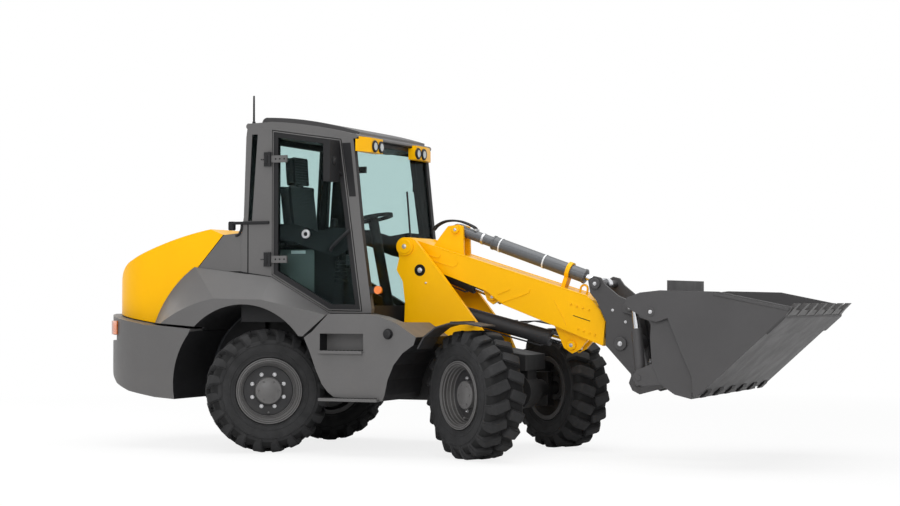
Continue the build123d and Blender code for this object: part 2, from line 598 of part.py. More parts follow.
def plan_round(x_rear, x_front, half, corner):
    """Upright block whose rear corners are rounded in plan."""
    with BuildPart() as made:
        with BuildSketch(Plane.XY) as plan:
            with Locations((REAR_AXLE_X + (x_rear + x_front) / 2, 0)):
                Rectangle(x_front - x_rear, 2 * half)
            fillet(plan.vertices().group_by(Axis.X)[0], corner)
        extrude(amount=3000)
    return made.part


def rounded(start, steps, x_rear, half, corner):
    """Side-view outline across the body, its rear corners rounded in plan."""
    with BuildPart() as made:
        add(curved(start, steps, -half, half))
        add(plan_round(x_rear, -200, half, corner), mode=Mode.INTERSECT)
    return made.part


def groove(depth, z_a, z_b):
    """Ring that cuts a groove round the rear of the counterweight."""
    with BuildPart() as made:
        add(block(REAR_END - 20, REAR_END + 260, -BODY_HALF - 20, BODY_HALF + 20, z_a, z_b))
        add(plan_round(REAR_END + depth, -200, BODY_HALF - depth, WEIGHT_CORNER - depth), mode=Mode.SUBTRACT)
    return made.part


with BuildPart() as counterweight:
    add(rounded(WEIGHT_START, WEIGHT_STEPS, REAR_END, BODY_HALF, WEIGHT_CORNER))
    add(cross_pin(ARCH_CENTRE, ARCH_RADIUS, -BODY_HALF - 5, BODY_HALF + 5), mode=Mode.SUBTRACT)
    add(block(-1400, -300, -300, 300, ENGINE_Z, 1300), mode=Mode.SUBTRACT)
    add(block(-1300, -300, -FRAME_HALF, FRAME_HALF, 300, ENGINE_Z), mode=Mode.SUBTRACT)
    add(groove(30, 930, 980), mode=Mode.SUBTRACT)
counterweight.part.label = "counterweight"
export_step(counterweight.part, "parts/counterweight.step")

CAB_REAR = -165.0
DECK_OUTLINE = [(CAB_REAR, 1532), (CAB_REAR, 1862), (-340, 1846), (-349, 1838), (-628, 1532)]
HINGE_HOOD = (-328.0, 1876.0)
HINGE_YS = (-320.0, 320.0)
with BuildPart() as rear_deck:
    add(plate(DECK_OUTLINE, -HOOD_HALF - 5, HOOD_HALF + 5))
    for y in HINGE_YS:
        for y_a, y_b in ((y - 45, y - 20.5), (y + 20.5, y + 45)):
            add(plate([(-345, 1835), (-300, 1835), (-310, 1894), (-345, 1894)], y_a, y_b))
        add(cross_pin(HINGE_HOOD, 10 + RUNNING, y - 50, y + 50), mode=Mode.SUBTRACT)
rear_deck.part.label = "rear_deck"
export_step(rear_deck.part, "parts/rear_deck.step")

HOOD_REAR = -1590.0
HOOD_START = (-352, 1848)
HOOD_STEPS = [
    (-476, 1898), (-890, 1797, -1300, 1636), (-1455, 1530, -1530, 1400), (HOOD_REAR, 1172), (-1040, 1088),
]
HOOD_SHEET = 40.0
HOLLOW_START = (-300, 1800)
HOLLOW_STEPS = [
    (-476, 1856), (-890, 1756, -1285, 1598), (-1418, 1506, -1490, 1390), (HOOD_REAR + 30, 1100), (-1000, 1000),
    (-200, 1700),
]
# Grille slots in the hood's rear face: count, pitch, height, lowest z, half width
GRILLE = (6, 36.0, 17.0, 1206.0, 270.0)
with BuildPart() as hood:
    add(rounded(HOOD_START, HOOD_STEPS, HOOD_REAR, HOOD_HALF, HOOD_CORNER))
    add(rounded(HOLLOW_START, HOLLOW_STEPS, HOOD_REAR + HOOD_SHEET, HOOD_HALF - HOOD_SHEET,
                HOOD_CORNER - HOOD_SHEET), mode=Mode.SUBTRACT)
    slots, pitch, height, lowest, half = GRILLE
    for slot in range(slots):
        z = lowest + slot * pitch
        add(block(HOOD_REAR - 40, HOOD_REAR + 110, -half, half, z, z + height), mode=Mode.SUBTRACT)
    for y in HINGE_YS:
        add(plate([(-310, 1870), (-316, 1890), (-336, 1892), (-420, 1885), (-400, 1860), (-340, 1858)],
                  y - 20, y + 20))
        add(cross_pin(HINGE_HOOD, 10, y - 45, y + 45))
hood.part.label = "hood"
export_step(hood.part, "parts/hood.step")

with BuildPart() as engine:
    add(block(-1330, -420, -270, 270, ENGINE_Z, 1450))
engine.part.label = "engine"
export_step(engine.part, "parts/engine.step")

# Front fenders: bent sheet over each front wheel, held by a bar from the tower
FRONT_FENDER = [
    (WHEELBASE + 40, 1070), (WHEELBASE - 110, 1096), (WHEELBASE - 245, 1092), (WHEELBASE - 355, 1062),
    (WHEELBASE - 460, 985), (WHEELBASE - 515, 890),
]
FENDER_SHEET = 12.0
with BuildPart() as front_fenders:
    for side in SIDES:
        add(plate(band(FRONT_FENDER, -FENDER_SHEET), side * 640, side * BODY_HALF))
        add(block(WHEELBASE - 335, WHEELBASE - 295, side * TOWER_OUT, side * 700, 1084, 1112))
front_fenders.part.label = "front_fenders"
export_step(front_fenders.part, "parts/front_fenders.step")

# Cab: floor tub, frame, roof, glass, doors
FLOOR_TOP = 1150.0
CAB_IN = CAB_HALF - CAB_WALL
CAB_FRONT = 1070.0
SILL = [(CAB_REAR, 1530), (126, 1488), (684, 1180), (CAB_FRONT, 1180)]
CAB_SIDE = [
    (CAB_REAR, 1530), (CAB_REAR, 1869), (-143, 1995), (-120, 2680), (-110, 2750), (132, 2750), (800, 2650),
    (905, 2632), (985, 1864), (1076, 1219), (1072, 1180), (684, 1180), (126, 1488),
]
DOOR_OUTLINE = [(132, 1499), (132, 2734), (792, 2634), (990, 1190), (680, 1194)]
QUARTER_LIGHT = [(-62, 2700), (-8, 2700), (-62, 1962), (-101, 1962)]
SCREEN_LOW, SCREEN_TOP = 1240.0, 2600.0
with BuildPart() as cab_floor:
    add(block(CAB_REAR, CAB_FRONT, -CAB_HALF, CAB_HALF, DECK_Z, FLOOR_TOP))
    for side in SIDES:
        add(plate([(CAB_REAR, DECK_Z)] + SILL + [(CAB_FRONT, DECK_Z)], side * CAB_IN, side * CAB_HALF))
    add(block(CAB_REAR, CAB_REAR + 50, -CAB_IN, CAB_IN, DECK_Z, 1530))
    add(block(CAB_FRONT - 50, CAB_FRONT, -CAB_IN, CAB_IN, DECK_Z, SCREEN_LOW))
cab_floor.part.label = "cab_floor"
export_step(cab_floor.part, "parts/cab_floor.step")

HINGE_X = 118.0
HINGE_Y = CAB_HALF + 20.0
DOOR_HINGES = (1632.0, 2484.0)
HINGE_RADIUS = 15.0
HINGE_PIN = 8.0
INDICATOR = (1142.0, 1370.0)
INDICATOR_PLATE = [(1035, 1342), (1160, 1342), (1160, 1398), (1035, 1398)]
with BuildPart() as cab_frame:
    for side in SIDES:
        add(plate(CAB_SIDE, side * CAB_IN, side * CAB_HALF))
        add(plate(INDICATOR_PLATE, side * (CAB_HALF - 25), side * CAB_HALF))
        for hole in (DOOR_OUTLINE, QUARTER_LIGHT):
            add(plate(hole, side * (CAB_IN - 5), side * (CAB_HALF + 5)), mode=Mode.SUBTRACT)
        for hinge in DOOR_HINGES:
            for z in (hinge - 60, hinge + 30.5):
                add(block(60, HINGE_X, side * (CAB_HALF - 2), side * (CAB_HALF + 15), z, z + 29.5))
                with BuildSketch(Plane.XY.offset(z)):
                    with Locations((REAR_AXLE_X + HINGE_X, side * HINGE_Y)):
                        Circle(HINGE_RADIUS)
                extrude(amount=29.5)
            with BuildSketch(Plane.XY.offset(hinge - 70)):
                with Locations((REAR_AXLE_X + HINGE_X, side * HINGE_Y)):
                    Circle(HINGE_PIN + RUNNING)
            extrude(amount=140, mode=Mode.SUBTRACT)
    add(plate([(CAB_REAR, 1530), (CAB_REAR, 1869), (-120, 2680), (-110, 2750), (-62, 2750), (-115, 1869),
               (-115, 1530)], -CAB_IN, CAB_IN))
    add(block(-300, 0, -600, 600, 1930, 2650), mode=Mode.SUBTRACT)
    add(plate([(800, SCREEN_TOP), (905, SCREEN_TOP), (905, 2632), (800, 2650)], -CAB_IN, CAB_IN))
cab_frame.part.label = "cab_frame"
export_step(cab_frame.part, "parts/cab_frame.step")

RIM_START = (132, 2750)
RIM_STEPS = [
    (-110, 2750), (-122, 2772, -88, 2796), (132, 2803), (480, 2763, 905, 2672), (937, 2664, 937, 2638),
    (905, 2632), (800, 2650),
]
CAP_START = (-8, 2770)
CAP_STEPS = [(-2, 2838, 40, 2850), (483, 2803, 918, 2696), (918, 2645), (480, 2740)]
CAP_HALF = CAB_HALF - 95.0
AERIAL_TOP = 3040.0
with BuildPart() as roof:
    add(curved(RIM_START, RIM_STEPS, -CAB_HALF, CAB_HALF))
    add(curved(CAP_START, CAP_STEPS, -CAP_HALF, CAP_HALF))
    with BuildSketch(Plane.XY.offset(2780)):
        with Locations((REAR_AXLE_X - 80, -CAB_HALF + 60)):
            Circle(5)
    extrude(amount=AERIAL_TOP - 2780)
roof.part.label = "roof"
export_step(roof.part, "parts/roof.step")

with BuildPart() as windscreen:
    add(plate([(882, SCREEN_TOP), (890, SCREEN_TOP), (970, 1864), (1058, SCREEN_LOW), (1050, SCREEN_LOW),
               (962, 1864)], -CAB_IN, CAB_IN))
windscreen.part.label = "windscreen"
export_step(windscreen.part, "parts/windscreen.step")

with BuildPart() as rear_window:
    add(plate([(-144, 1900), (-136, 1900), (-90, 2600), (-82, 2660), (-90, 2660), (-98, 2600)], -600, 600))
    add(block(-300, 0, -600, 600, 1800, 1930), mode=Mode.SUBTRACT)
    add(block(-300, 0, -600, 600, 2650, 2700), mode=Mode.SUBTRACT)
    for side in SIDES:
        add(plate(QUARTER_LIGHT, side * (CAB_HALF - 20), side * (CAB_HALF - 12)))
rear_window.part.label = "rear_window"
export_step(rear_window.part, "parts/rear_window.step")

# Doors: name, side
DOOR_FRAME = 52.0
for door_name, side in (("door_right", -1), ("door_left", 1)):
    inner, outer = side * (CAB_IN + 10), side * CAB_HALF
    top_y = max(inner, outer)
    with BuildPart() as door:
        with BuildSketch(side_plane(top_y)):
            with BuildLine():
                Polyline(*placed(DOOR_OUTLINE), close=True)
            make_face()
            offset(amount=-CLEAR, mode=Mode.REPLACE)
            offset(amount=-DOOR_FRAME, mode=Mode.SUBTRACT)
        extrude(amount=abs(outer - inner))
        for hinge in DOOR_HINGES:
            add(block(HINGE_X, 282, side * (CAB_HALF - 2), side * (CAB_HALF + 15), hinge - 30, hinge + 30))
            with BuildSketch(Plane.XY.offset(hinge - 30)):
                with Locations((REAR_AXLE_X + HINGE_X, side * HINGE_Y)):
                    Circle(HINGE_RADIUS)
            extrude(amount=60)
            with BuildSketch(Plane.XY.offset(hinge - 60)):
                with Locations((REAR_AXLE_X + HINGE_X, side * HINGE_Y)):
                    Circle(HINGE_PIN)
            extrude(amount=120)
            add(block(60, 137, side * (CAB_HALF - 10), side * (CAB_HALF + 0.5), hinge - 70, hinge + 70),
                mode=Mode.SUBTRACT)
    door.part.label = door_name
    export_step(door.part, "parts/" + door_name + ".step")

    with BuildPart() as glass:
        with BuildSketch(side_plane(side * (CAB_HALF - 20) + 4)):
            with BuildLine():
                Polyline(*placed(DOOR_OUTLINE), close=True)
            make_face()
            offset(amount=-CLEAR - DOOR_FRAME, mode=Mode.REPLACE)
        extrude(amount=8)
    glass.part.label = door_name + "_glass"
    export_step(glass.part, "parts/" + door_name + "_glass.step")

    with BuildPart() as mirror:
        add(block(735, 795, side * (CAB_HALF + 40), side * (CAB_HALF + 215), 2270, 2610))
        add(block(755, 780, side * CAB_HALF, side * (CAB_HALF + 130), 2540, 2565))
    mirror.part.label = door_name + "_mirror"
    export_step(mirror.part, "parts/" + door_name + "_mirror.step")

# Seat and controls
SEAT_BACK = [(20, 1640), (130, 1640), (42, 2300), (18, 2560), (-48, 2560), (-48, 2300)]
with BuildPart() as seat:
    add(block(110, 480, -190, 190, FLOOR_TOP, 1550))
    add(block(40, 560, -250, 250, 1550, 1680))
    add(plate(SEAT_BACK, -235, 235))
    for side in SIDES:
        add(block(-80, 60, side * 130, side * 260, 2320, 2600), mode=Mode.SUBTRACT)
seat.part.label = "seat"
export_step(seat.part, "parts/seat.step")

COLUMN_FOOT, COLUMN_TOP = (890.0, FLOOR_TOP), (720.0, 1990.0)
COLUMN_ANGLE = angle_of(COLUMN_FOOT, COLUMN_TOP)
COLUMN_LENGTH = gap_of(COLUMN_FOOT, COLUMN_TOP)
with BuildPart() as controls:
    add(ram(COLUMN_FOOT, COLUMN_ANGLE, -40, COLUMN_LENGTH, 45))
    add(block(300, 1000, -400, 400, FLOOR_TOP - 100, FLOOR_TOP), mode=Mode.SUBTRACT)
    add(ram(COLUMN_FOOT, COLUMN_ANGLE, COLUMN_LENGTH - 5, COLUMN_LENGTH + 25, 178))
    add(ram(COLUMN_FOOT, COLUMN_ANGLE, COLUMN_LENGTH - 10, COLUMN_LENGTH + 30, 150), mode=Mode.SUBTRACT)
    add(ram(COLUMN_FOOT, COLUMN_ANGLE, COLUMN_LENGTH - 20, COLUMN_LENGTH + 16, 45))
    add(lean(COLUMN_FOOT, COLUMN_ANGLE, COLUMN_LENGTH, COLUMN_LENGTH + 14, -14, 14, 160))
    add(lean(COLUMN_FOOT, COLUMN_ANGLE, COLUMN_LENGTH, COLUMN_LENGTH + 14, 0, 160, 14))
    add(block(60, 620, -500, -320, FLOOR_TOP, 1720))
controls.part.label = "controls"
export_step(controls.part, "parts/controls.step")

# Lamps
LAMP_Z = 2584.0
LAMP_FRONT = 980.0
LAMP_YS = (375.0, 495.0)
LENS_RADIUS = 38.0
# Plan of a lamp box swept back to the cab's corner: (x, distance from the middle plane)
LAMP_PLAN = [(905, 335), (LAMP_FRONT, 335), (LAMP_FRONT, 560), (937, 742), (923, 742), (923, 680), (905, 680)]
with BuildPart() as lamp_boxes:
    for side in SIDES:
        with BuildSketch(Plane.XY.offset(2530)):
            with BuildLine():
                Polyline(*[(REAR_AXLE_X + x, side * y) for x, y in LAMP_PLAN], close=True)
            make_face()
        extrude(amount=124)
        add(block(850, 942, side * 300, side * 760, 2631, 2760), mode=Mode.SUBTRACT)
lamp_boxes.part.label = "lamp_boxes"
export_step(lamp_boxes.part, "parts/lamp_boxes.step")

with BuildPart() as lamp_lenses:
    for side in SIDES:
        for y in LAMP_YS:
            with BuildSketch(Plane(origin=(REAR_AXLE_X + LAMP_FRONT, side * y, LAMP_Z),
                                   x_dir=(0, 1, 0), z_dir=(1, 0, 0))):
                Circle(LENS_RADIUS)
            extrude(amount=12)
lamp_lenses.part.label = "lamp_lenses"
export_step(lamp_lenses.part, "parts/lamp_lenses.step")


def corner_strip(side, thick, z_a, z_b):
    """Curved strip that lies on one rounded rear corner of the counterweight."""
    with BuildPart() as made:
        with BuildSketch(Plane.XY.offset(z_a)):
            with Locations((REAR_AXLE_X + REAR_END + WEIGHT_CORNER, side * (BODY_HALF - WEIGHT_CORNER))):
                Circle(WEIGHT_CORNER + thick)
                Circle(WEIGHT_CORNER + SEAT, mode=Mode.SUBTRACT)
        extrude(amount=z_b - z_a)
        add(block(REAR_END + 60, REAR_END + 250, side * (BODY_HALF - 305), side * (BODY_HALF - 90), z_a, z_b),
            mode=Mode.INTERSECT)
    return made.part


with BuildPart() as signal_lamps:
    for side in SIDES:
        add(corner_strip(side, 14, 985, 1105))
        add(cross_pin(INDICATOR, 34, side * CAB_HALF, side * (CAB_HALF + 22)))
signal_lamps.part.label = "signal_lamps"
export_step(signal_lamps.part, "parts/signal_lamps.step")
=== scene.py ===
from math import atan2, cos, hypot, pi, radians, sin

import bmesh
import bpy
from mathutils import Matrix, Vector


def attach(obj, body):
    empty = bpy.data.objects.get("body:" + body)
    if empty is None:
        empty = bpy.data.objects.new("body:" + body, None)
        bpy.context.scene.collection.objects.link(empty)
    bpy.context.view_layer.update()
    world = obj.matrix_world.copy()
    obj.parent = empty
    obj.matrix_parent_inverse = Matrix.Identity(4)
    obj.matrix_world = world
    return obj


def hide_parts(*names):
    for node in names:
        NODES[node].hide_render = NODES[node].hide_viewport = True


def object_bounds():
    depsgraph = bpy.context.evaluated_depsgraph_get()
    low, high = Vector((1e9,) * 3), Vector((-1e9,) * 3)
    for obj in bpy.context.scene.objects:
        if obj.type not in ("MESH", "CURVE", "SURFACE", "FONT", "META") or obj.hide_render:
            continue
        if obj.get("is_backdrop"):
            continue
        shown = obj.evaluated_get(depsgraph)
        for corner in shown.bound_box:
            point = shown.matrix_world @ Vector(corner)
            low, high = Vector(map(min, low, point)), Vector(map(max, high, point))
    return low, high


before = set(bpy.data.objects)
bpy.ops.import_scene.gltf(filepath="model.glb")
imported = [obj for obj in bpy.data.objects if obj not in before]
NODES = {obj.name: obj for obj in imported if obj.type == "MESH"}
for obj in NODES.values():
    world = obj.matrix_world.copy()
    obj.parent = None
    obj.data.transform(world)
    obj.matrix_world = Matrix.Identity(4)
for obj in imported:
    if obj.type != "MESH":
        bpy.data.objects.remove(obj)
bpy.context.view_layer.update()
SCENE = bpy.context.scene

# Shared sizes of the machine, in mm from the rear axle and the ground
REAR_AXLE = -1540.0
TYRE_R = 522.0
WHEELBASE = 2100.0
KINGPIN_Y = 605.0
KINGPIN_OFFSET = 165.0
STEER = 34.0
CAB_HALF = 745.0
BODY_HALF = 930.0
BOOM_HALF = 160.0
BUCKET_HALF = 985.0

# Pins in the side view (x, z)
BOOM_PIVOT = (1162.0, 1742.0)
LIFT_PIN = (1580.0, 1170.0)
LIFT_EYE = (2600.0, 914.0)
COMP_PIN = (1297.0, 1540.0)
COMP_EYE = (1890.0, 1312.0)
TILT_PIN = (1548.0, 1885.0)
TILT_EYE = (2865.0, 1420.0)
COUPLER_PIN = (3080.0, 934.0)
HOOK_BAR = (3175.0, 1225.0)
LOCK_PIN = (3240.0, 625.0)
CLAM_PIN = (3563.0, 1197.0)
BOOM_ANGLE = atan2(TILT_EYE[1] - TILT_PIN[1], TILT_EYE[0] - TILT_PIN[0])

# Door outline, hinge heights, and the rear wheel arch as centre x, z and radius
DOOR = ((132, 1499), (132, 2734), (792, 2634), (990, 1190), (680, 1194))
HINGES = (1632, 2484)
ARCH = (-50.0, 570.0, 680.0)

# Wheels: name, axle x, side (-1 right, 1 left), steering angle
WHEELS = (
    ("front_right", WHEELBASE, -1, -STEER), ("front_left", WHEELBASE, 1, -STEER),
    ("rear_right", 0.0, -1, STEER), ("rear_left", 0.0, 1, STEER),
)
BOTH = (-1, 1)
X = Vector((1, 0, 0))
Y = Vector((0, 1, 0))
Z = Vector((0, 0, 1))


# Places and lines

def at(x, y, z):
    """Point in metres from millimetres counted from the rear axle."""
    return Vector(((x + REAR_AXLE) / 1000, y / 1000, z / 1000))


def side_point(place, y):
    """Point in metres of a side-view place (x, z) at one y."""
    return at(place[0], y, place[1])


def flat(points, y):
    """Side-view points as (x, y, z) at one y."""
    return [(x, y, z) for x, z in points]


def past_cab(points, side):
    """Points (x, reach past the cab's side, z) on one side of the cab."""
    return [(x, side * (CAB_HALF + reach), z) for x, reach, z in points]


def along(start, angle, distance, rise=0.0):
    """Side-view place at a distance along a slanted line and a rise square to it."""
    return (
        start[0] + distance * cos(angle) - rise * sin(angle),
        start[1] + distance * sin(angle) + rise * cos(angle),
    )


def directions(angle):
    """Unit vectors along a line that rises by an angle in the side view, and square to it."""
    return Vector((cos(angle), 0, sin(angle))), Vector((-sin(angle), 0, cos(angle)))


def basis(axis):
    """Unit axis and two unit vectors square to it."""
    axis = axis.normalized()
    side = axis.orthogonal().normalized()
    return axis, side, axis.cross(side)


def circle(centre, side, up, radius, count):
    """Points of a circle in the plane of two unit vectors; radius in mm."""
    turns = [2 * pi * i / count for i in range(count)]
    return [centre + (side * cos(a) + up * sin(a)) * (radius / 1000) for a in turns]


def smooth(points, steps):
    """Points of a rounded line through the given ones."""
    out = []
    last = len(points) - 1
    for i in range(last):
        p0, p1, p2, p3 = points[max(i - 1, 0)], points[i], points[i + 1], points[min(i + 2, last)]
        for k in range(steps):
            t = k / steps
            out.append(0.5 * (2 * p1 + (p2 - p0) * t + (2 * p0 - 5 * p1 + 4 * p2 - p3) * t * t
                              + (3 * p1 - p0 - 3 * p2 + p3) * t ** 3))
    return out + [points[-1]]


def inset(points, gap):
    """Convex outline moved inward; the points run clockwise seen from the right."""
    out = []
    n = len(points)
    for i in range(n):
        a, b, c = points[i - 1], points[i], points[(i + 1) % n]
        d1, d2 = (b[0] - a[0], b[1] - a[1]), (c[0] - b[0], c[1] - b[1])
        n1 = (d1[1] / hypot(*d1), -d1[0] / hypot(*d1))
        n2 = (d2[1] / hypot(*d2), -d2[0] / hypot(*d2))
        k = gap / (1 + n1[0] * n2[0] + n1[1] * n2[1])
        out.append((b[0] + (n1[0] + n2[0]) * k, b[1] + (n1[1] + n2[1]) * k))
    return out


# Materials

def srgb(r, g, b):
    """Linear colour of an 8-bit screen colour."""
    out = []
    for c in (r, g, b):
        c = c / 255
        out.append(c / 12.92 if c <= 0.04045 else ((c + 0.055) / 1.055) ** 2.4)
    return (*out, 1.0)


def shade(colour, k):
    """Colour made darker or lighter by a factor."""
    return (min(colour[0] * k, 1), min(colour[1] * k, 1), min(colour[2] * k, 1), 1)


class Graph:
    """Small helper round one material's nodes."""

    def __init__(self, name):
        self.material = bpy.data.materials.new(name)
        self.material.use_nodes = True
        self.tree = self.material.node_tree
        self.bsdf = self.tree.nodes["Principled BSDF"]
        self.coords = self.tree.nodes.new("ShaderNodeTexCoord").outputs["Object"]

    def node(self, kind, inputs=None, **settings):
        """New node; an input is a value or another node's socket."""
        made = self.tree.nodes.new(kind)
        for key, value in settings.items():
            setattr(made, key, value)
        for key, value in (inputs or {}).items():
            if isinstance(value, bpy.types.NodeSocket):
                self.tree.links.new(value, made.inputs[key])
            else:
                made.inputs[key].default_value = value
        return made

    def noise(self, scale, detail=3.0, rough=0.55, stretch=None):
        coords = self.coords
        if stretch:
            coords = self.node("ShaderNodeMapping", {"Vector": coords, "Scale": stretch}).outputs["Vector"]
        inputs = {"Vector": coords, "Scale": scale, "Detail": detail, "Roughness": rough}
        return self.node("ShaderNodeTexNoise", inputs).outputs["Fac"]

    def wave(self, scale, direction, distortion):
        inputs = {"Vector": self.coords, "Scale": scale, "Distortion": distortion}
        return self.node("ShaderNodeTexWave", inputs, bands_direction=direction).outputs["Fac"]

    def span(self, value, a, b, low=0.0, high=1.0):
        """Value mapped from a..b to low..high."""
        inputs = {"Value": value, "From Min": a, "From Max": b, "To Min": low, "To Max": high}
        return self.node("ShaderNodeMapRange", inputs).outputs["Result"]

    def math(self, operation, a, b):
        return self.node("ShaderNodeMath", {0: a, 1: b}, operation=operation).outputs[0]

    def mix(self, factor, a, b):
        made = self.node("ShaderNodeMix", {"Factor": factor, "A": a, "B": b}, data_type="RGBA")
        return made.outputs["Result"]

    def edges(self, radius):
        """Rounded normal near edges and a mask that is 1 there."""
        soft = self.node("ShaderNodeBevel", {"Radius": radius}, samples=4).outputs["Normal"]
        plain = self.node("ShaderNodeNewGeometry").outputs["Normal"]
        dot = self.node("ShaderNodeVectorMath", {0: soft, 1: plain}, operation="DOT_PRODUCT")
        return soft, self.span(dot.outputs["Value"], 0.995, 0.86)

    def bump(self, height, strength, distance, normal=None):
        """Bump on the shader's normal, over a rounded one if given."""
        inputs = {"Height": height, "Strength": strength, "Distance": distance}
        if normal is not None:
            inputs["Normal"] = normal
        self.link(self.node("ShaderNodeBump", inputs).outputs["Normal"], "Normal")

    def link(self, value, socket):
        self.tree.links.new(value, self.bsdf.inputs[socket])

    def put(self, **values):
        """Constants on the shader's own sockets; an underscore stands for a space."""
        for key, value in values.items():
            self.bsdf.inputs[key.replace("_", " ")].default_value = value


DUST = srgb(118, 108, 94)
# Heights in metres between which dust fades in
DUST_TOP = 0.9
DUST_FOOT = 0.1


def paint(name, colour, rough=0.45, vary=0.07, metal=0.0, coat=0.0, bevel=0.005, wear=None, worn=0.5,
          grain=0.06, grain_scale=900.0, dust=0.0, gloss=0.4):
    """Paint, plastic or rubber: blotches, roughness drift, fine grain, softened and rubbed edges."""
    g = Graph(name)
    cloud = g.noise(scale=2.3, detail=5.0)
    fine = g.noise(scale=38.0, detail=4.0)
    tone = g.mix(g.span(cloud, 0.3, 0.7), shade(colour, 1 - vary), shade(colour, 1 + vary))
    tone = g.mix(g.span(fine, 0.35, 0.75, 0.0, 0.35), tone, shade(colour, 1 - 1.6 * vary))
    soft, mask = g.edges(bevel)
    if wear:
        patches = g.span(g.noise(scale=55.0, detail=6.0, rough=0.7), 0.42, 0.68, 0.0, worn)
        tone = g.mix(g.math("MULTIPLY", mask, patches), tone, wear)
    if dust:
        height = g.node("ShaderNodeSeparateXYZ", {"Vector": g.coords}).outputs["Z"]
        patches = g.span(g.noise(scale=9.0, detail=6.0, rough=0.65), 0.4, 0.75, 0.0, dust)
        tone = g.mix(g.math("MULTIPLY", g.span(height, DUST_TOP, DUST_FOOT), patches), tone, DUST)
    g.link(tone, "Base Color")
    g.link(g.span(g.noise(scale=6.0, detail=4.0), 0.25, 0.75, rough - 0.07, rough + 0.09), "Roughness")
    g.bump(g.noise(grain_scale, detail=2.0), grain, 0.002, soft)
    g.put(Metallic=metal, Coat_Weight=coat, Coat_Roughness=0.12, Specular_IOR_Level=gloss)
    return g.material


def glass(name, colour, rough=0.02):
    """Tinted pane with faint wipe marks."""
    g = Graph(name)
    marks = g.noise(scale=14.0, detail=5.0, rough=0.6, stretch=(1.0, 1.0, 4.0))
    g.link(g.mix(g.span(marks, 0.4, 0.8, 0.0, 0.5), colour, shade(colour, 0.94)), "Base Color")
    g.link(g.span(marks, 0.3, 0.8, rough, rough + 0.05), "Roughness")
    g.put(IOR=1.06, Transmission_Weight=1.0, Specular_IOR_Level=0.4)
    return g.material


def rubber(name, colour):
    """Tyre rubber: fine mould grain, blotches and paler edges."""
    g = Graph(name)
    cloud = g.noise(scale=7.0, detail=6.0, rough=0.65)
    tone = g.mix(g.span(cloud, 0.35, 0.7), shade(colour, 0.8), shade(colour, 1.35))
    soft, mask = g.edges(0.009)
    patches = g.span(g.noise(scale=30.0, detail=5.0), 0.4, 0.7, 0.0, 0.55)
    tone = g.mix(g.math("MULTIPLY", mask, patches), tone, shade(colour, 2.0))
    g.link(tone, "Base Color")
    g.put(Specular_IOR_Level=0.3)
    g.link(g.span(g.noise(scale=11.0, detail=5.0), 0.3, 0.7, 0.62, 0.82), "Roughness")
    g.bump(g.noise(scale=420.0, detail=4.0), 0.16, 0.003, soft)
    return g.material


def cloth(name, colour, threads=190.0):
    """Woven seat cloth."""
    g = Graph(name)
    weave = g.math("MULTIPLY", g.wave(threads, "X", 0.6), g.wave(threads, "Z", 0.6))
    g.link(g.mix(g.span(weave, 0.1, 0.8), shade(colour, 0.6), shade(colour, 1.6)), "Base Color")
    g.bump(weave, 0.4, 0.002)
    g.link(g.span(g.noise(scale=30.0), 0.3, 0.7, 0.8, 0.95), "Roughness")
    g.put(Sheen_Weight=0.3)
    return g.material


def chrome(name, colour, rough):
    """Ground hard chrome with hairlines along the machine."""
    g = Graph(name)
    lines = g.noise(scale=60.0, detail=4.0, rough=0.7, stretch=(0.4, 9.0, 9.0))
    g.link(g.mix(g.span(lines, 0.3, 0.7), shade(colour, 0.88), colour), "Base Color")
    g.link(g.span(lines, 0.3, 0.75, rough, rough + 0.12), "Roughness")
    g.put(Metallic=1.0)
    return g.material


def lens(name, colour, ribs):
    """Lamp lens with moulded ribs over a bright backing."""
    g = Graph(name)
    rings = g.wave(ribs, "Z", 0.0)
    g.link(g.mix(g.span(rings, 0.2, 0.9), shade(colour, 0.72), colour), "Base Color")
    g.bump(rings, 0.35, 0.003)
    g.link(g.span(g.noise(scale=20.0), 0.3, 0.7, 0.08, 0.2), "Roughness")
    g.put(Coat_Weight=1.0, Coat_Roughness=0.03)
    return g.material


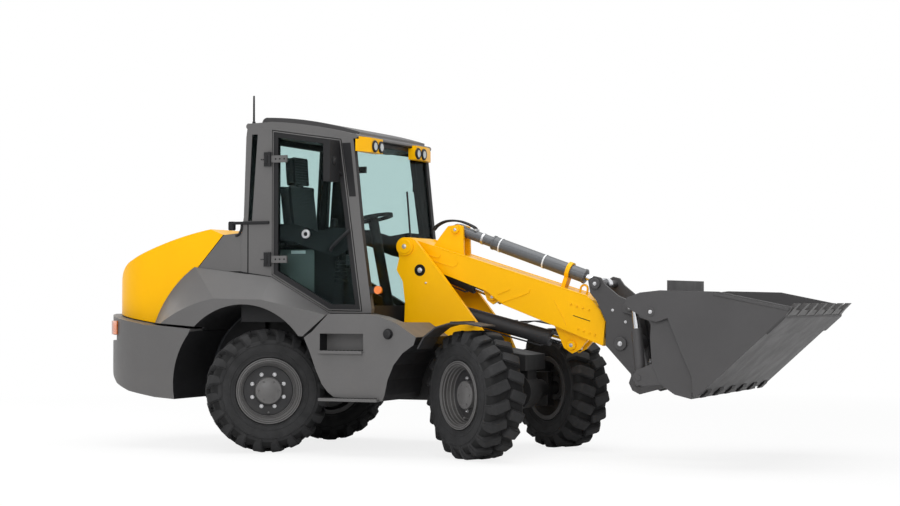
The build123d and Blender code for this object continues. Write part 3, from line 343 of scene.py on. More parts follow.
GREY = srgb(93, 92, 92)
YELLOW = srgb(255, 187, 0)
DARK = srgb(63, 62, 63)
M = {
    "yellow": paint("yellow_paint_look", YELLOW, 0.36, 0.035, coat=0.05, wear=srgb(196, 140, 20), worn=0.35,
                    grain=0.03, gloss=0.16),
    "grey": paint("grey_paint_look", GREY, 0.46, 0.06, coat=0.05, wear=srgb(128, 127, 126), worn=0.45,
                  dust=0.1),
    "dark": paint("dark_paint_look", DARK, 0.5, 0.08, wear=srgb(120, 118, 116), worn=0.5, grain=0.1,
                  dust=0.06),
    "edge_steel": paint("edge_steel_look", srgb(74, 73, 73), 0.45, 0.14, metal=0.2, wear=srgb(140, 138, 135),
                        worn=0.7, grain=0.14, grain_scale=300.0),
    "black": paint("frame_black_look", srgb(26, 26, 27), 0.5, 0.12, wear=srgb(64, 63, 62), worn=0.4, dust=0.1,
                   gloss=0.25),
    "rim": paint("rim_paint_look", srgb(60, 59, 59), 0.44, 0.08, coat=0.1, wear=srgb(112, 111, 110), worn=0.5,
                 dust=0.1),
    "ram": paint("ram_paint_look", srgb(88, 90, 93), 0.34, 0.06, metal=0.25, coat=0.2,
                 wear=srgb(170, 172, 174)),
    "plastic": paint("black_plastic_look", srgb(24, 24, 26), 0.55, 0.1, bevel=0.004, wear=srgb(58, 58, 60),
                     worn=0.3, grain=0.22, grain_scale=700.0, gloss=0.3),
    "fender": paint("fender_plastic_look", srgb(46, 46, 48), 0.55, 0.1, wear=srgb(88, 88, 88), worn=0.35,
                    grain=0.2, grain_scale=600.0, dust=0.12),
    "iron": paint("engine_iron_look", srgb(70, 72, 76), 0.6, 0.15, metal=0.3, wear=srgb(110, 110, 112),
                  grain=0.3, grain_scale=240.0),
    "bolt": paint("zinc_bolt_look", srgb(198, 198, 200), 0.3, 0.1, metal=0.85, bevel=0.002,
                  wear=srgb(230, 230, 232)),
    # Lighter grey for the console's outer side: painted light that stands for light seen through the far
    # door's glass
    "console_painted_light": paint("console_painted_light_look", srgb(106, 110, 109), 0.6, 0.06, wear=srgb(160, 164, 163), worn=0.3,
                  grain=0.2),
    "strap": paint("white_strap_look", srgb(226, 228, 230), 0.4, 0.05, bevel=0.002, wear=srgb(190, 190, 190)),
    # Near-black for seams, lock cores and hinge bolts, and as painted shade in the tower's hand holes
    "seam": paint("dark_seam_and_shade_look", srgb(14, 14, 15), 0.7, 0.12, grain=0.2, gloss=0.2),
    "chrome": chrome("rod_chrome_look", srgb(224, 226, 230), 0.1),
    "tyre": rubber("tyre_rubber_look", srgb(36, 36, 37)),
    # Near-black rubber for the carcass between the lugs: painted shade in the tyre's grooves
    "groove": rubber("tyre_groove_look", srgb(11, 11, 12)),
    "cloth": cloth("seat_cloth_look", srgb(46, 47, 50)),
    "glass": glass("cab_glass_look", srgb(210, 227, 226)),
    "mirror": chrome("mirror_glass_look", srgb(214, 222, 226), 0.03),
    "lamp": lens("lamp_lens_look", srgb(196, 204, 208), 60.0),
    "amber": lens("amber_lens_look", srgb(255, 128, 20), 40.0),
}

# Node finishes: start of the node's name, material; the longest match wins
FINISH = (
    ("chassis_frame", "black"), ("boom_tower", "yellow"), ("counterweight", "grey"), ("rear_fenders", "grey"),
    ("side_tanks", "grey"), ("front_fenders", "fender"), ("rear_deck", "grey"), ("engine", "iron"),
    ("cab_frame", "grey"), ("cab_floor", "plastic"), ("roof", "grey"), ("windscreen", "glass"),
    ("rear_window", "glass"), ("seat", "cloth"), ("controls", "plastic"), ("lamp_boxes", "yellow"),
    ("lamp_lenses", "lamp"), ("signal_lamps", "amber"), ("front_axle", "black"), ("rear_axle", "black"),
    ("boom_outer", "yellow"), ("tilt_tube", "ram"), ("boom_inner", "dark"), ("tilt_sleeve", "ram"),
    ("tilt_rod", "chrome"), ("coupler", "dark"), ("bucket_back", "dark"), ("clam_barrels", "dark"),
    ("bucket_clam", "dark"), ("clam_rods", "chrome"), ("lift_barrel", "fender"), ("lift_rod", "chrome"),
    ("comp_barrel", "fender"), ("comp_rod", "chrome"), ("hood", "yellow"), ("tyre_", "tyre"), ("rim_", "rim"),
    ("knuckle_", "black"), ("door_right", "plastic"), ("door_left", "plastic"), ("door_right_glass", "glass"),
    ("door_left_glass", "glass"), ("door_right_mirror", "plastic"), ("door_left_mirror", "plastic"),
)
SHARP_CAD = radians(32.0)
for node_name, node in NODES.items():
    match = max((f for f in FINISH if node_name.startswith(f[0])), key=lambda f: len(f[0]))
    node.data.materials.clear()
    node.data.materials.append(M[match[1]])
    for face in node.data.polygons:
        face.use_smooth = True
    node.data.set_sharp_from_angle(angle=SHARP_CAD)


def dress(node_name, look, test):
    """Second finish for the faces of a node that pass a test.

    The test takes the centre in mm (x from the rear axle, y from the middle plane, z), the normal, and
    the normal's share outward from the middle plane.
    """
    mesh = NODES[node_name].data
    mesh.materials.append(M[look])
    index = len(mesh.materials) - 1
    for face in mesh.polygons:
        c, n = face.center * 1000, face.normal
        if test(c.x - REAR_AXLE, abs(c.y), c.z, n, n.y if c.y > 0 else -n.y):
            face.material_index = index


def in_arch(x, y, z, n, out):
    """Faces on the round of the rear wheel arch."""
    return abs(hypot(x - ARCH[0], z - ARCH[1]) - ARCH[2]) < 7


def cab_black(x, y, z, n, out):
    """Inner and front faces of the cab frame and the edges round its doors."""
    reveal = (n.x < -0.3 and x > 500) or (n.x > 0.3 and x < 200) or (n.z < -0.5 and z > 2500)
    front = x > 1085 or (n.x > 0.5 and z > 1260)
    return out < -0.5 or y > CAB_HALF + 1 or front or (abs(out) < 0.4 and reveal)


def tank_ends(x, y, z, n, out):
    """Faces of the side tanks that look at the wheels."""
    return abs(out) < 0.4 and z < 1000 and abs(n.x) > 0.3 and (x < 840 or x > 1240)


dress("cab_frame", "plastic", cab_black)
dress("cab_frame", "grey", lambda x, y, z, n, out: n.x > 0.3 and x < -50 and z < 1900)
# Painted light: the console's outer side in a lighter grey, standing for light seen through the far door's
# glass
dress("controls", "console_painted_light", lambda x, y, z, n, out: y > 498 and z < 1721)
dress("rear_fenders", "plastic", in_arch)
dress("counterweight", "plastic", in_arch)
dress("side_tanks", "plastic", tank_ends)
dress("hood", "plastic", lambda x, y, z, n, out: n.z < -0.2 or out < -0.4 or (n.x > 0.3 and x < -1000))
dress("rear_deck", "plastic", lambda x, y, z, n, out: n.z < -0.3 or out < -0.5)
dress("roof", "dark", lambda x, y, z, n, out: z > 2690 and y < 651 and n.z > -0.2)
dress("roof", "plastic", lambda x, y, z, n, out: n.z < -0.3)
dress("bucket_clam", "edge_steel", lambda x, y, z, n, out: x > 4560)
for word in ("right", "left"):
    dress("door_" + word, "grey", lambda x, y, z, n, out: y > CAB_HALF + 1 and x > 134)


# Mesh building

THINNEST = 0.05


def piece_of(name, bm, look):
    """Object with smooth faces and one material, made from a bmesh."""
    mesh = bpy.data.meshes.new(name)
    bm.to_mesh(mesh)
    bm.free()
    for face in mesh.polygons:
        face.use_smooth = True
    mesh.materials.append(M[look])
    made = bpy.data.objects.new(name, mesh)
    SCENE.collection.objects.link(made)
    return made


class Kit:
    """Collects shapes, in mm from the rear axle, into one piece that rides on a body."""

    def __init__(self, name, look, body):
        self.name, self.look, self.body = name, look, body
        self.bm = bmesh.new()

    def solid(self, rings, closed=False):
        """Skin over rings of points that have the same count; closed joins the last ring to the first."""
        rows = [[self.bm.verts.new(p) for p in ring] for ring in rings]
        count = len(rows[0])
        pairs = list(zip(rows, rows[1:])) + ([(rows[-1], rows[0])] if closed else [])
        faces = []
        for a, b in pairs:
            for i in range(count):
                j = (i + 1) % count
                faces.append(self.bm.faces.new((a[i], a[j], b[j], b[i])))
        if not closed:
            faces.append(self.bm.faces.new(rows[0][::-1]))
            faces.append(self.bm.faces.new(rows[-1]))
        bmesh.ops.recalc_face_normals(self.bm, faces=faces)
        return faces

    def bevel(self, faces, size, segments=2):
        """Round all edges of some faces by a size in mm."""
        edges = list({e for f in faces for e in f.edges})
        bmesh.ops.bevel(self.bm, geom=edges, offset=size / 1000, segments=segments, affect="EDGES",
                        clamp_overlap=True)

    def prism(self, points, y_a, y_b, bevel=0.0):
        """Side-view outline between two y values."""
        faces = self.solid([[at(x, y, z) for x, z in points] for y in (y_a, y_b)])
        if bevel:
            self.bevel(faces, bevel)

    def box(self, x_a, x_b, y_a, y_b, z_a, z_b, bevel=4.0):
        self.prism([(x_a, z_a), (x_b, z_a), (x_b, z_b), (x_a, z_b)], y_a, y_b, bevel)

    def turned(self, start, axis, profile, count=24, closed=False):
        """Round form from a point in metres; profile of (distance along, radius); closed is a collar."""
        axis, side, up = basis(axis)
        rings = [circle(start + axis * (s / 1000), side, up, max(r, THINNEST), count) for s, r in profile]
        self.solid(rings, closed)

    def bolt(self, place, axis, size):
        """Hexagon head on a washer; size is the washer's radius in mm."""
        self.turned(place, axis, [(-1, size), (size * 0.14, size), (size * 0.2, size * 0.94)], 20)
        self.turned(place, axis, [(0, size * 0.72), (size * 0.75, size * 0.72), (size * 0.88, size * 0.6)], 6)

    def ring(self, centre, axis, major, minor, count=48, around=8):
        """Torus in mm about a point in metres."""
        axis, side, up = basis(axis)
        rings = []
        for i in range(count):
            a = 2 * pi * i / count
            out = side * cos(a) + up * sin(a)
            rings.append([
                centre + out * ((major + minor * cos(2 * pi * k / around)) / 1000)
                + axis * (minor * sin(2 * pi * k / around) / 1000) for k in range(around)])
        self.solid(rings, closed=True)

    def pipe(self, points, radius, steps=8, count=10):
        """Round pipe with smooth bends through points in mm."""
        line = smooth([at(*p) for p in points], steps)
        rings = []
        side = None
        for i, p in enumerate(line):
            way = (line[min(i + 1, len(line) - 1)] - line[max(i - 1, 0)]).normalized()
            if side is None:
                side = way.orthogonal().normalized()
            else:
                side = (side - way * side.dot(way)).normalized()
            rings.append(circle(p, side, way.cross(side), radius, count))
        self.solid(rings)

    def frame(self, points, width, y_a, y_b):
        """Flat ring that follows a convex outline, with its width inward."""
        inner = inset(points, width)
        corners = ((points, y_a), (points, y_b), (inner, y_b), (inner, y_a))
        rows = [[at(*p) for p in flat(line, y)] for line, y in corners]
        self.bevel(self.solid(rows, closed=True), 2.0, 1)

    def done(self, angle=35.0):
        """Finished piece, sharp at edges over an angle."""
        bmesh.ops.remove_doubles(self.bm, verts=self.bm.verts, dist=1e-6)
        made = piece_of(self.name, self.bm, self.look)
        made.data.set_sharp_from_angle(angle=radians(angle))
        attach(made, self.body)
        return made


# Tyres: carcass and lugs of the solid with rounded shoulders, broad bars and sidewall rings; the carcass
# between the lugs is near-black rubber, painted shade in the grooves
# Carcass: outward from the wheel's middle, radius
CARCASS = (
    (150, 257), (151, 283), (158, 300), (169, 338), (176, 386), (172, 428), (158, 458), (142, 474), (96, 480),
    (0, 481),
)
CARCASS_STEPS = 96
# Distance from the axle in metres past which carcass faces take the painted groove shade
GROOVE_SHADE_FROM = 0.44
# Sidewall rings: radius, outward, thickness
SIDE_RINGS = ((290, 153.5, 6), (330, 166.5, 3), (398, 176.5, 4))
LUGS = 20
LUG_SLANT = radians(20.0)
LUG_MIDDLE = 92.0
LUG_HALF = 43.0
LUG_TOP = 518.2
LUG_BEVEL = 7.0
# Lug outline: reach from the middle, radius; past LUG_WAIST the bar is drawn in
LUG_OUTLINE = (
    (6, 470), (6, LUG_TOP), (124, LUG_TOP), (144, 509), (160, 478), (177, 428), (175, 408), (150, 408),
)
LUG_WAIST = 170
WAIST_SHARE = 0.78


def tyre_piece(wheel, centre, outward, body):
    """Lug tyre that stands for one tyre solid."""
    kit = Kit("lug_tyre_" + wheel, "tyre", body)
    ahead = Z.cross(outward)

    def spot(out, angle, radius):
        return centre + (outward * out + (Z * cos(angle) + ahead * sin(angle)) * radius) / 1000

    loop = list(CARCASS) + [(-w, r) for w, r in CARCASS[-2::-1]]
    turns = [2 * pi * i / CARCASS_STEPS for i in range(CARCASS_STEPS)]
    # Carcass faces out on the tread get the near-black second material: painted shade in the grooves between
    # the lugs
    for face in kit.solid([[spot(w, a, r) for w, r in loop] for a in turns], closed=True):
        from_hub = face.calc_center_median() - centre
        if (from_hub - outward * from_hub.dot(outward)).length > GROOVE_SHADE_FROM:
            face.material_index = 1
    for sign in (1, -1):
        for radius, out, minor in SIDE_RINGS:
            kit.ring(centre + outward * (sign * out / 1000), outward, radius, minor, 72, 6)
    for row in BOTH:
        for k in range(LUGS):
            turn = pi + (k + (row + 1) / 4) * 2 * pi / LUGS
            radial = Z * cos(turn) + ahead * sin(turn)
            tangent = radial.cross(outward)
            bar = outward * (row * cos(LUG_SLANT)) + tangent * sin(LUG_SLANT)
            base = centre - tangent * (LUG_MIDDLE * sin(LUG_SLANT) / 1000)
            rings = []
            for shift in (-LUG_HALF, LUG_HALF):
                across = bar.cross(radial) * (shift / 1000)
                rings.append([
                    base + bar * (w / cos(LUG_SLANT) / 1000) + radial * (r / 1000)
                    + across * (WAIST_SHARE if w > LUG_WAIST else 1.0) for w, r in LUG_OUTLINE])
            kit.bevel(kit.solid(rings), LUG_BEVEL)
    piece = kit.done(40.0)
    # Second material: near-black rubber as painted shade in the grooves
    piece.data.materials.append(M["groove"])
    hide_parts("tyre_" + wheel)


# Wheels: nuts, hub drum with bolts, flange bead, valve, rim ridges and tyre; the bead and ridges are a
# lighter grey than the rim as painted highlight, and the rim's disc is darker as painted shade
# Values that end in OUT are mm outward from the wheel's middle
NUTS = 8
NUT_CIRCLE = 144.0
NUT_OUT = 41.0
NUT_R = 17
DRUM_OUT = 40.5
DRUM = ((0, 116), (60, 114), (66, 108), (68, 60), (70, 56), (70, 0))
DRUM_BOLTS = 6
DRUM_BOLT_CIRCLE = 84.0
DRUM_BOLT_OUT = 108.5
DRUM_BOLT_R = 7
BEAD_OUT = 164.5
BEAD_MAJOR = 272
BEAD_R = 5
VALVE = ((0, 6), (34, 6), (36, 8), (52, 8), (54, 5))
VALVE_OUT = 60.0
VALVE_DOWN = -196.0
VALVE_LEAN = 0.3
# Rolled ridges down the rim's dish, in a lighter grey than the rim as painted highlight: outward, radius
RIM_RIDGES = ((164, 256), (150, 240), (122, 236), (94, 226), (66, 216))
RIDGE_R = 5.0
# Depth of the rim's disc and the foot of its dish, in metres, which take painted shade
DISC_FROM = 0.017
DISC_TO = 0.063


def shade_rim_dish(wheel, centre, outward):
    """Painted shade: a darker grey on the disc and the foot of the dish, standing for the shadow in the deep
    dish.
    """
    mesh = NODES["rim_" + wheel].data
    mesh.materials.append(M["fender"])
    for face in mesh.polygons:
        if DISC_FROM < (face.center - centre).dot(outward) < DISC_TO:
            face.material_index = 1


for wheel, axle_x, side, steer in WHEELS:
    turn = radians(steer)
    outward = Vector((-side * sin(turn), side * cos(turn), 0))
    centre = at(axle_x, side * KINGPIN_Y, TYRE_R) + outward * (KINGPIN_OFFSET / 1000)
    ahead = outward.cross(Z)
    body = "wheel_" + wheel
    nuts = Kit("wheel_nuts_" + wheel, "bolt", body)
    for i in range(NUTS):
        a = 2 * pi * (i + 0.5) / NUTS
        spoke = (ahead * cos(a) + Z * sin(a)) * (NUT_CIRCLE / 1000)
        nuts.bolt(centre + outward * (NUT_OUT / 1000) + spoke, outward, NUT_R)
    nuts.done()
    hub = Kit("hub_cap_" + wheel, "grey", body)
    hub.turned(centre + outward * (DRUM_OUT / 1000), outward, DRUM, 48)
    for i in range(DRUM_BOLTS):
        a = 2 * pi * i / DRUM_BOLTS
        spoke = (ahead * cos(a) + Z * sin(a)) * (DRUM_BOLT_CIRCLE / 1000)
        hub.bolt(centre + outward * (DRUM_BOLT_OUT / 1000) + spoke, outward, DRUM_BOLT_R)
    # The flange bead takes the hub's lighter grey: a painted highlight on the rim's lip
    hub.ring(centre + outward * (BEAD_OUT / 1000), outward, BEAD_MAJOR, BEAD_R, 96, 8)
    valve_foot = centre + outward * (VALVE_OUT / 1000) + Z * (VALVE_DOWN / 1000)
    hub.turned(valve_foot, outward + Z * VALVE_LEAN, VALVE, 10)
    hub.done()
    # Ridges in a lighter grey than the rim: painted highlight on the dish
    ridges = Kit("lit_rim_ridges_" + wheel, "grey", body)
    for out, radius in RIM_RIDGES:
        ridges.ring(centre + outward * (out / 1000), outward, radius, RIDGE_R, 96, 8)
    ridges.done()
    # Painted shade on the rim's disc and the foot of its dish
    shade_rim_dish(wheel, centre, outward)
    tyre_piece(wheel, centre, outward, body)

# Pin heads: name, body, look, cap height, rows of (pin, y, cap radius, bolt radius)
PINS = (
    ("tower_pin_caps", "chassis", "yellow", 9, ((BOOM_PIVOT, 288, 62, 20),)),
    ("boom_pin_caps", "boom", "yellow", 9, (
        (LIFT_EYE, 108, 40, 16), (COMP_EYE, 100, 30, 13), (TILT_PIN, 95, 34, 14))),
    ("coupler_pin_caps", "coupler", "dark", 9, ((COUPLER_PIN, 271, 54, 20), (TILT_EYE, 271, 44, 16))),
    ("bar_ends", "coupler", "edge_steel", 9, ((HOOK_BAR, 313, 26, 12), (LOCK_PIN, 313, 26, 12))),
    ("clam_pin_caps", "clam", "dark", 5, ((CLAM_PIN, BUCKET_HALF, 34, 15),)),
)
for name, body, look, high, rows in PINS:
    caps, heads = Kit(name, look, body), Kit(name + "_bolts", "bolt", body)
    for pin, y, cap_r, bolt_r in rows:
        profile = ((-2, cap_r), (high - 3, cap_r), (high, cap_r - 4))
        for side in BOTH:
            caps.turned(side_point(pin, side * y), Y * side, profile, 32)
            heads.bolt(side_point(pin, side * (y + high)), Y * side, bolt_r)
    caps.done()
    heads.done()

# Tower: near-black disc round the lower pin, painted shade in its hand hole, and small fixing bolts
TOWER_FACE = 270
HAND_HOLE_SHADE = ((-3, 50), (1.5, 50), (2, 48))
hole = Kit("tower_hole_shades", "seam", "chassis")
studs = Kit("tower_studs", "bolt", "chassis")
for side in BOTH:
    # Near-black disc on the plate: painted shade inside the hand hole
    hole.turned(side_point(COMP_PIN, side * TOWER_FACE), Y * side, HAND_HOLE_SHADE, 32)
    studs.bolt(side_point(COMP_PIN, side * (TOWER_FACE + 1)), Y * side, 22)
    for place in ((1352, 1432), (1240, 960), (1790, 960)):
        studs.bolt(side_point(place, side * TOWER_FACE), Y * side, 9)
hole.done()
studs.done()

# Boom: weld beads, lifting eye, pad bolts and slots
BEADS = (
    ((1292, 1685), (1350, 1664), (1413, 1648), (1436, 1658), (1440, 1680)),
    ((1345, 1629), (1460, 1596), (1556, 1570), (1590, 1584), (1600, 1612)),
    ((1970, 1334), (2020, 1354), (2076, 1376)),
    ((1996, 1262), (2110, 1300), (2225, 1338), (2247, 1354), (2254, 1376)),
    ((2466, 1285), (2510, 1210), (2560, 1110), (2578, 1066)),
)
TOP_BEAD = ((1190, 1803), (1342, 1755), (2758, 1318))
LIFTING_EYE = ((2640, 1350), (2650, 1398), (2682, 1412), (2706, 1390), (2700, 1335))
# Rows of wear pad bolts: first and last place
PAD_ROWS = (((2616, 1254), (2772, 1205)), ((2681, 1050), (2824, 1001)))
PAD_BOLTS = 4
SLOT = ((2636, 1163), (2785, 1117), (2783, 1111), (2634, 1157))
beads = Kit("boom_weld_beads", "yellow", "boom")
for side in BOTH:
    for bead in BEADS:
        beads.pipe(flat(bead, side * BOOM_HALF), 4.5, 5, 8)
    beads.pipe(flat(TOP_BEAD, side * (BOOM_HALF - 3)), 5.0, 6, 8)
beads.pipe(flat(LIFTING_EYE, 0), 9, 6, 10)
beads.done()
pads = Kit("boom_pad_bolts", "yellow", "boom")
slots = Kit("boom_slots", "seam", "boom")
for side in BOTH:
    for a, b in PAD_ROWS:
        for k in range(PAD_BOLTS):
            t = k / (PAD_BOLTS - 1)
            place = (a[0] + (b[0] - a[0]) * t, a[1] + (b[1] - a[1]) * t)
            pads.bolt(side_point(place, side * BOOM_HALF), Y * side, 11)
    slots.prism(SLOT, side * (BOOM_HALF - 1), side * (BOOM_HALF + 1.5))
pads.done()
slots.done()

# Tilt cylinder: straps, gland, hard lines and fittings; profiles are collars round the sleeve or the tube
SLEEVE_R = 58.6
TUBE_R = 45.2
STRAP = ((0, SLEEVE_R), (0.5, 61.5), (13, 61.5), (13.5, SLEEVE_R))
GLAND = ((0, SLEEVE_R), (1, 63), (16, 63), (19, 58), (24, 44), (25, 30), (12, SLEEVE_R))
SLEEVE_FOOT = ((2, SLEEVE_R), (0, 60), (2, 62), (16, 62), (18, SLEEVE_R))
TUBE_COLLAR = ((0, TUBE_R), (1, 50), (20, 50), (22, TUBE_R))
# Hard line: distance from the tilt pin along the cylinder, rise above its axis
HARD_LINE = ((150, 46), (110, 68), (-20, 72), (-135, 36), (-205, -24), (-232, -78))
LINE_Y = 24
LINE_FITTING = ((0, 17), (12, 17), (13, 13), (20, 12))
tilt_way, tilt_over = directions(BOOM_ANGLE)
straps = Kit("tilt_straps", "strap", "inner_boom")
gland = Kit("tilt_gland", "ram", "inner_boom")
for kit, reach, profile in (
    (straps, 400, STRAP), (straps, 820, STRAP), (gland, 1195, GLAND), (gland, 330, SLEEVE_FOOT),
):
    kit.turned(side_point(along(TILT_PIN, BOOM_ANGLE, reach), 0), tilt_way, profile, 40, True)
straps.done()
gland.done()
lines = Kit("tilt_hard_lines", "plastic", "boom")
fit = Kit("tilt_fittings", "bolt", "boom")
for side in BOTH:
    route = [along(TILT_PIN, BOOM_ANGLE, s, rise) for s, rise in HARD_LINE]
    lines.pipe(flat(route, side * LINE_Y), 9)
    fit.turned(side_point(along(TILT_PIN, BOOM_ANGLE, 150, 40), side * LINE_Y), tilt_over, LINE_FITTING, 6)
fit.turned(side_point(along(TILT_PIN, BOOM_ANGLE, 225), 0), tilt_way, TUBE_COLLAR, 32, True)
lines.done()
fit.done()

# Lift and compensation cylinders: gland, ports and pipe
# Name, foot, eye, barrel radius, barrel end, rod radius
CYLINDERS = (
    ("lift", LIFT_PIN, LIFT_EYE, 66.0, 830.0, 36.0), ("comp", COMP_PIN, COMP_EYE, 46.0, 430.0, 25.0),
)
PORT = ((0, 15), (16, 15), (18, 12))
for name, foot, eye, barrel, end, rod in CYLINDERS:
    angle = atan2(eye[1] - foot[1], eye[0] - foot[0])
    way, over = directions(angle)
    kit = Kit(name + "_gland", "fender", name + "_barrel")
    start = side_point(foot, 0)
    head = ((0, barrel), (1, barrel + 3.5), (40, barrel + 3.5), (44, barrel - 2), (46, rod + 3))
    kit.turned(start + way * ((end - 46) / 1000), way, head, 36)
    for reach in (120, end - 70):
        kit.turned(start + way * (reach / 1000) - over * (barrel - 6) / 1000, -over, PORT, 6)
    route = [along(foot, angle, s, -barrel - 16) for s in (128, 240, end - 180, end - 78)]
    kit.pipe(flat(route, 0), 7, 5, 8)
    kit.done()

# Coupler: pipes, fittings, bolts and lock ram
COUPLER_PIPE = (
    (3020, 170, 1210), (3080, 178, 1255), (3130, 176, 1190), (3165, 165, 1060), (3195, 150, 900),
    (3205, 140, 775),
)
pipes = Kit("coupler_pipes", "plastic", "coupler")
fit = Kit("coupler_fittings", "bolt", "coupler")
for side in BOTH:
    pipes.pipe([(x, side * y, z) for x, y, z in COUPLER_PIPE], 9)
    fit.turned(at(3205, side * 140, 768), Z, [(0, 18), (16, 18), (18, 14), (34, 13)], 6)
    fit.turned(at(3018, side * 170, 1200), Z, [(0, 16), (16, 16), (18, 12)], 6)
    for place in ((3010, 1205), (3250, 800), (3120, 1110)):
        fit.bolt(side_point(place, side * 255), Y * side, 12)
pipes.box(2990, 3040, -190, 190, 1178, 1200)
pipes.done()
fit.done()
lock_ram = Kit("coupler_lock_ram", "chrome", "coupler")
lock_ram.turned(at(3245, -215, 735), Y, [(0, 20), (430, 20)], 20)
lock_ram.done()

# Bucket: wear shoes on the heel, cutting edge and side strips; outlines lie along the clam's slanted floor
CLAM_HEEL = (3951, 575)
CLAM_LIP = (4603, 1167)
CLAM_SLOPE = atan2(CLAM_LIP[1] - CLAM_HEEL[1], CLAM_LIP[0] - CLAM_HEEL[0])
SHOE = ((-40, 2), (-30, -16), (40, -16), (58, 2))
SHOES = 6
SHOE_FIRST = -850
SHOE_STEP = 340
SHOE_HALF = 60
EDGE = ((690, 1), (690, -13), (870, -13), (884, -3), (884, 1))
SIDE_STRIP = ((4060, 1345), (4640, 1228), (4636, 1206), (4056, 1322))


def on_floor(outline):
    """Outline along the clam's floor as side-view points."""
    return [along(CLAM_HEEL, CLAM_SLOPE, s, rise) for s, rise in outline]


shoes = Kit("bucket_wear_shoes", "black", "clam")
for k in range(SHOES):
    y = SHOE_FIRST + k * SHOE_STEP
    shoes.prism(on_floor(SHOE), y - SHOE_HALF, y + SHOE_HALF, 6)
shoes.done()
edge = Kit("bucket_cutting_edge", "dark", "clam")
edge.prism(on_floor(EDGE), -BUCKET_HALF + 4, BUCKET_HALF - 4, 2.5)
edge.done()
strips = Kit("bucket_side_strips", "dark", "clam")
for side in BOTH:
    strips.prism(SIDE_STRIP, side * (BUCKET_HALF - 2), side * (BUCKET_HALF + 6), 3)
strips.done()

# Doors: lip, inner trim band with pull, outer handle, lock, hinge bolts and mirror
TRIM_BAND = (
    (186, 1935), (365, 1926), (545, 1868), (720, 1895), (878, 1882), (905, 1742), (740, 1650), (560, 1690),
    (330, 1778), (186, 1792),
)
INNER_PULL = ((690, 1705), (735, 1662), (905, 1795), (878, 1842))
HANDLE = ((700, 4, 1700), (730, 34, 1735), (850, 34, 1838), (872, 4, 1866))
LOCK = (454, 1843)
LOCK_DEPTH = 17
LOCK_RING = ((0, 38), (14, 38), (18, 34), (18, 20), (10, 18), (10, 4))
LOCK_CORE = ((2, 19), (11, 19), (12, 17), (12, 2))
HINGE_BOLTS = (175, 215, 258)
MIRROR_FACE = ((733.5, 2284), (735.5, 2284), (735.5, 2596), (733.5, 2596))
MIRROR_ARM = ((795, -6, 2330), (800, 30, 2345), (785, 60, 2360))
MIRROR_BOSS = ((0, 40), (6, 40), (9, 34), (9, 24), (16, 20), (18, 4))
for side, word in ((-1, "right"), (1, "left")):
    body = "door_" + word
    lip = Kit(body + "_lip", "grey", body)
    lip.frame(inset(DOOR, 7), 9, side * (CAB_HALF - 6), side * (CAB_HALF + 5))
    lip.done()
    band = Kit(body + "_trim_band", "plastic", body)
    band.prism(TRIM_BAND, side * (CAB_HALF - 30), side * (CAB_HALF - 42), 5)
    band.prism(INNER_PULL, side * (CAB_HALF - 42), side * (CAB_HALF - 78), 9)
    band.pipe(past_cab(HANDLE, side), 13)
    band.done()
    lock_foot = side_point(LOCK, side * (CAB_HALF - LOCK_DEPTH))
    lock = Kit(body + "_lock", "bolt", body)
    lock.turned(lock_foot, Y * side, LOCK_RING, 32)
    core = Kit(body + "_lock_core", "seam", body)
    core.turned(lock_foot, Y * side, LOCK_CORE, 24)
    for hinge in HINGES:
        for x in HINGE_BOLTS:
            core.bolt(at(x, side * (CAB_HALF + 15), hinge), Y * side, 7)
    core.done()
    lock.done()
    mirror = Kit(body + "_mirror_glass", "mirror", body)
    mirror.prism(MIRROR_FACE, side * (CAB_HALF + 52), side * (CAB_HALF + 203))
    mirror.done()
    arm = Kit(body + "_mirror_arms", "plastic", body)
    arm.pipe(past_cab(MIRROR_ARM, side), 9, 6, 10)
    arm.turned(at(794, side * (CAB_HALF + 128), 2440), X, MIRROR_BOSS, 28)
    arm.done()

# Cab: hinge blocks with post strip, rear rails, seams, arch panels, roof lining, wiper and aerial
POST_STRIP = ((800, 2600), (878, 2600), (930, 2150), (868, 2150))
RAIL_HOOK = ((-160, 4, 1940), (-164, 6, 1890), (-190, 4, 1848), (-222, -6, 1838))
FENDER_SEAM = ((-612, 1552), (-104, 1516), (-104, 1508), (-612, 1543))
SPLASH_R = ARCH[2] - 8
SPLASH_LOW = 640
ROOF_LINING = (
    (-40, 2720), (130, 2720), (790, 2622), (790, 2600), (560, 2600), (430, 2640), (130, 2690), (-40, 2690),
)
WIPER_ARM = ((1066, 120, 1290), (1040, 150, 1500), (1000, 190, 1790), (985, 200, 1880))
WIPER_BLADE = ((1027, 170, 1560), (985, 200, 1880), (941, 232, 2240))
AERIAL = (-80, 2794)
AERIAL_SLEEVE = ((0, 15), (20, 15), (26, 9.5), (243, 8), (245, 6))
blocks = Kit("cab_hinge_blocks", "plastic", "chassis")
for side in BOTH:
    for hinge in HINGES:
        blocks.box(62, 100, side * (CAB_HALF - 2), side * (CAB_HALF + 20), hinge - 36, hinge + 36)
        for x in (28, 46):
            blocks.turned(at(x, side * CAB_HALF, hinge), Y * side, [(-1, 6), (3, 6), (4, 3)], 12)
    blocks.prism(POST_STRIP, side * (CAB_HALF - 1), side * (CAB_HALF + 3), 1)
blocks.done()
rail = Kit("cab_rear_rails", "plastic", "chassis")
for side in BOTH:
    rail.box(-288, 108, side * (CAB_HALF - 3), side * (CAB_HALF + 14), 1932, 1958)
    rail.box(-290, -236, side * (CAB_HALF - 30), side * (CAB_HALF + 16), 1884, 1960, 6)
    rail.pipe(past_cab(RAIL_HOOK, side), 11, 6, 10)
rail.box(-200, -148, -690, 690, 1872, 1892, 5)
rail.done()
seams = Kit("body_seams", "seam", "chassis")
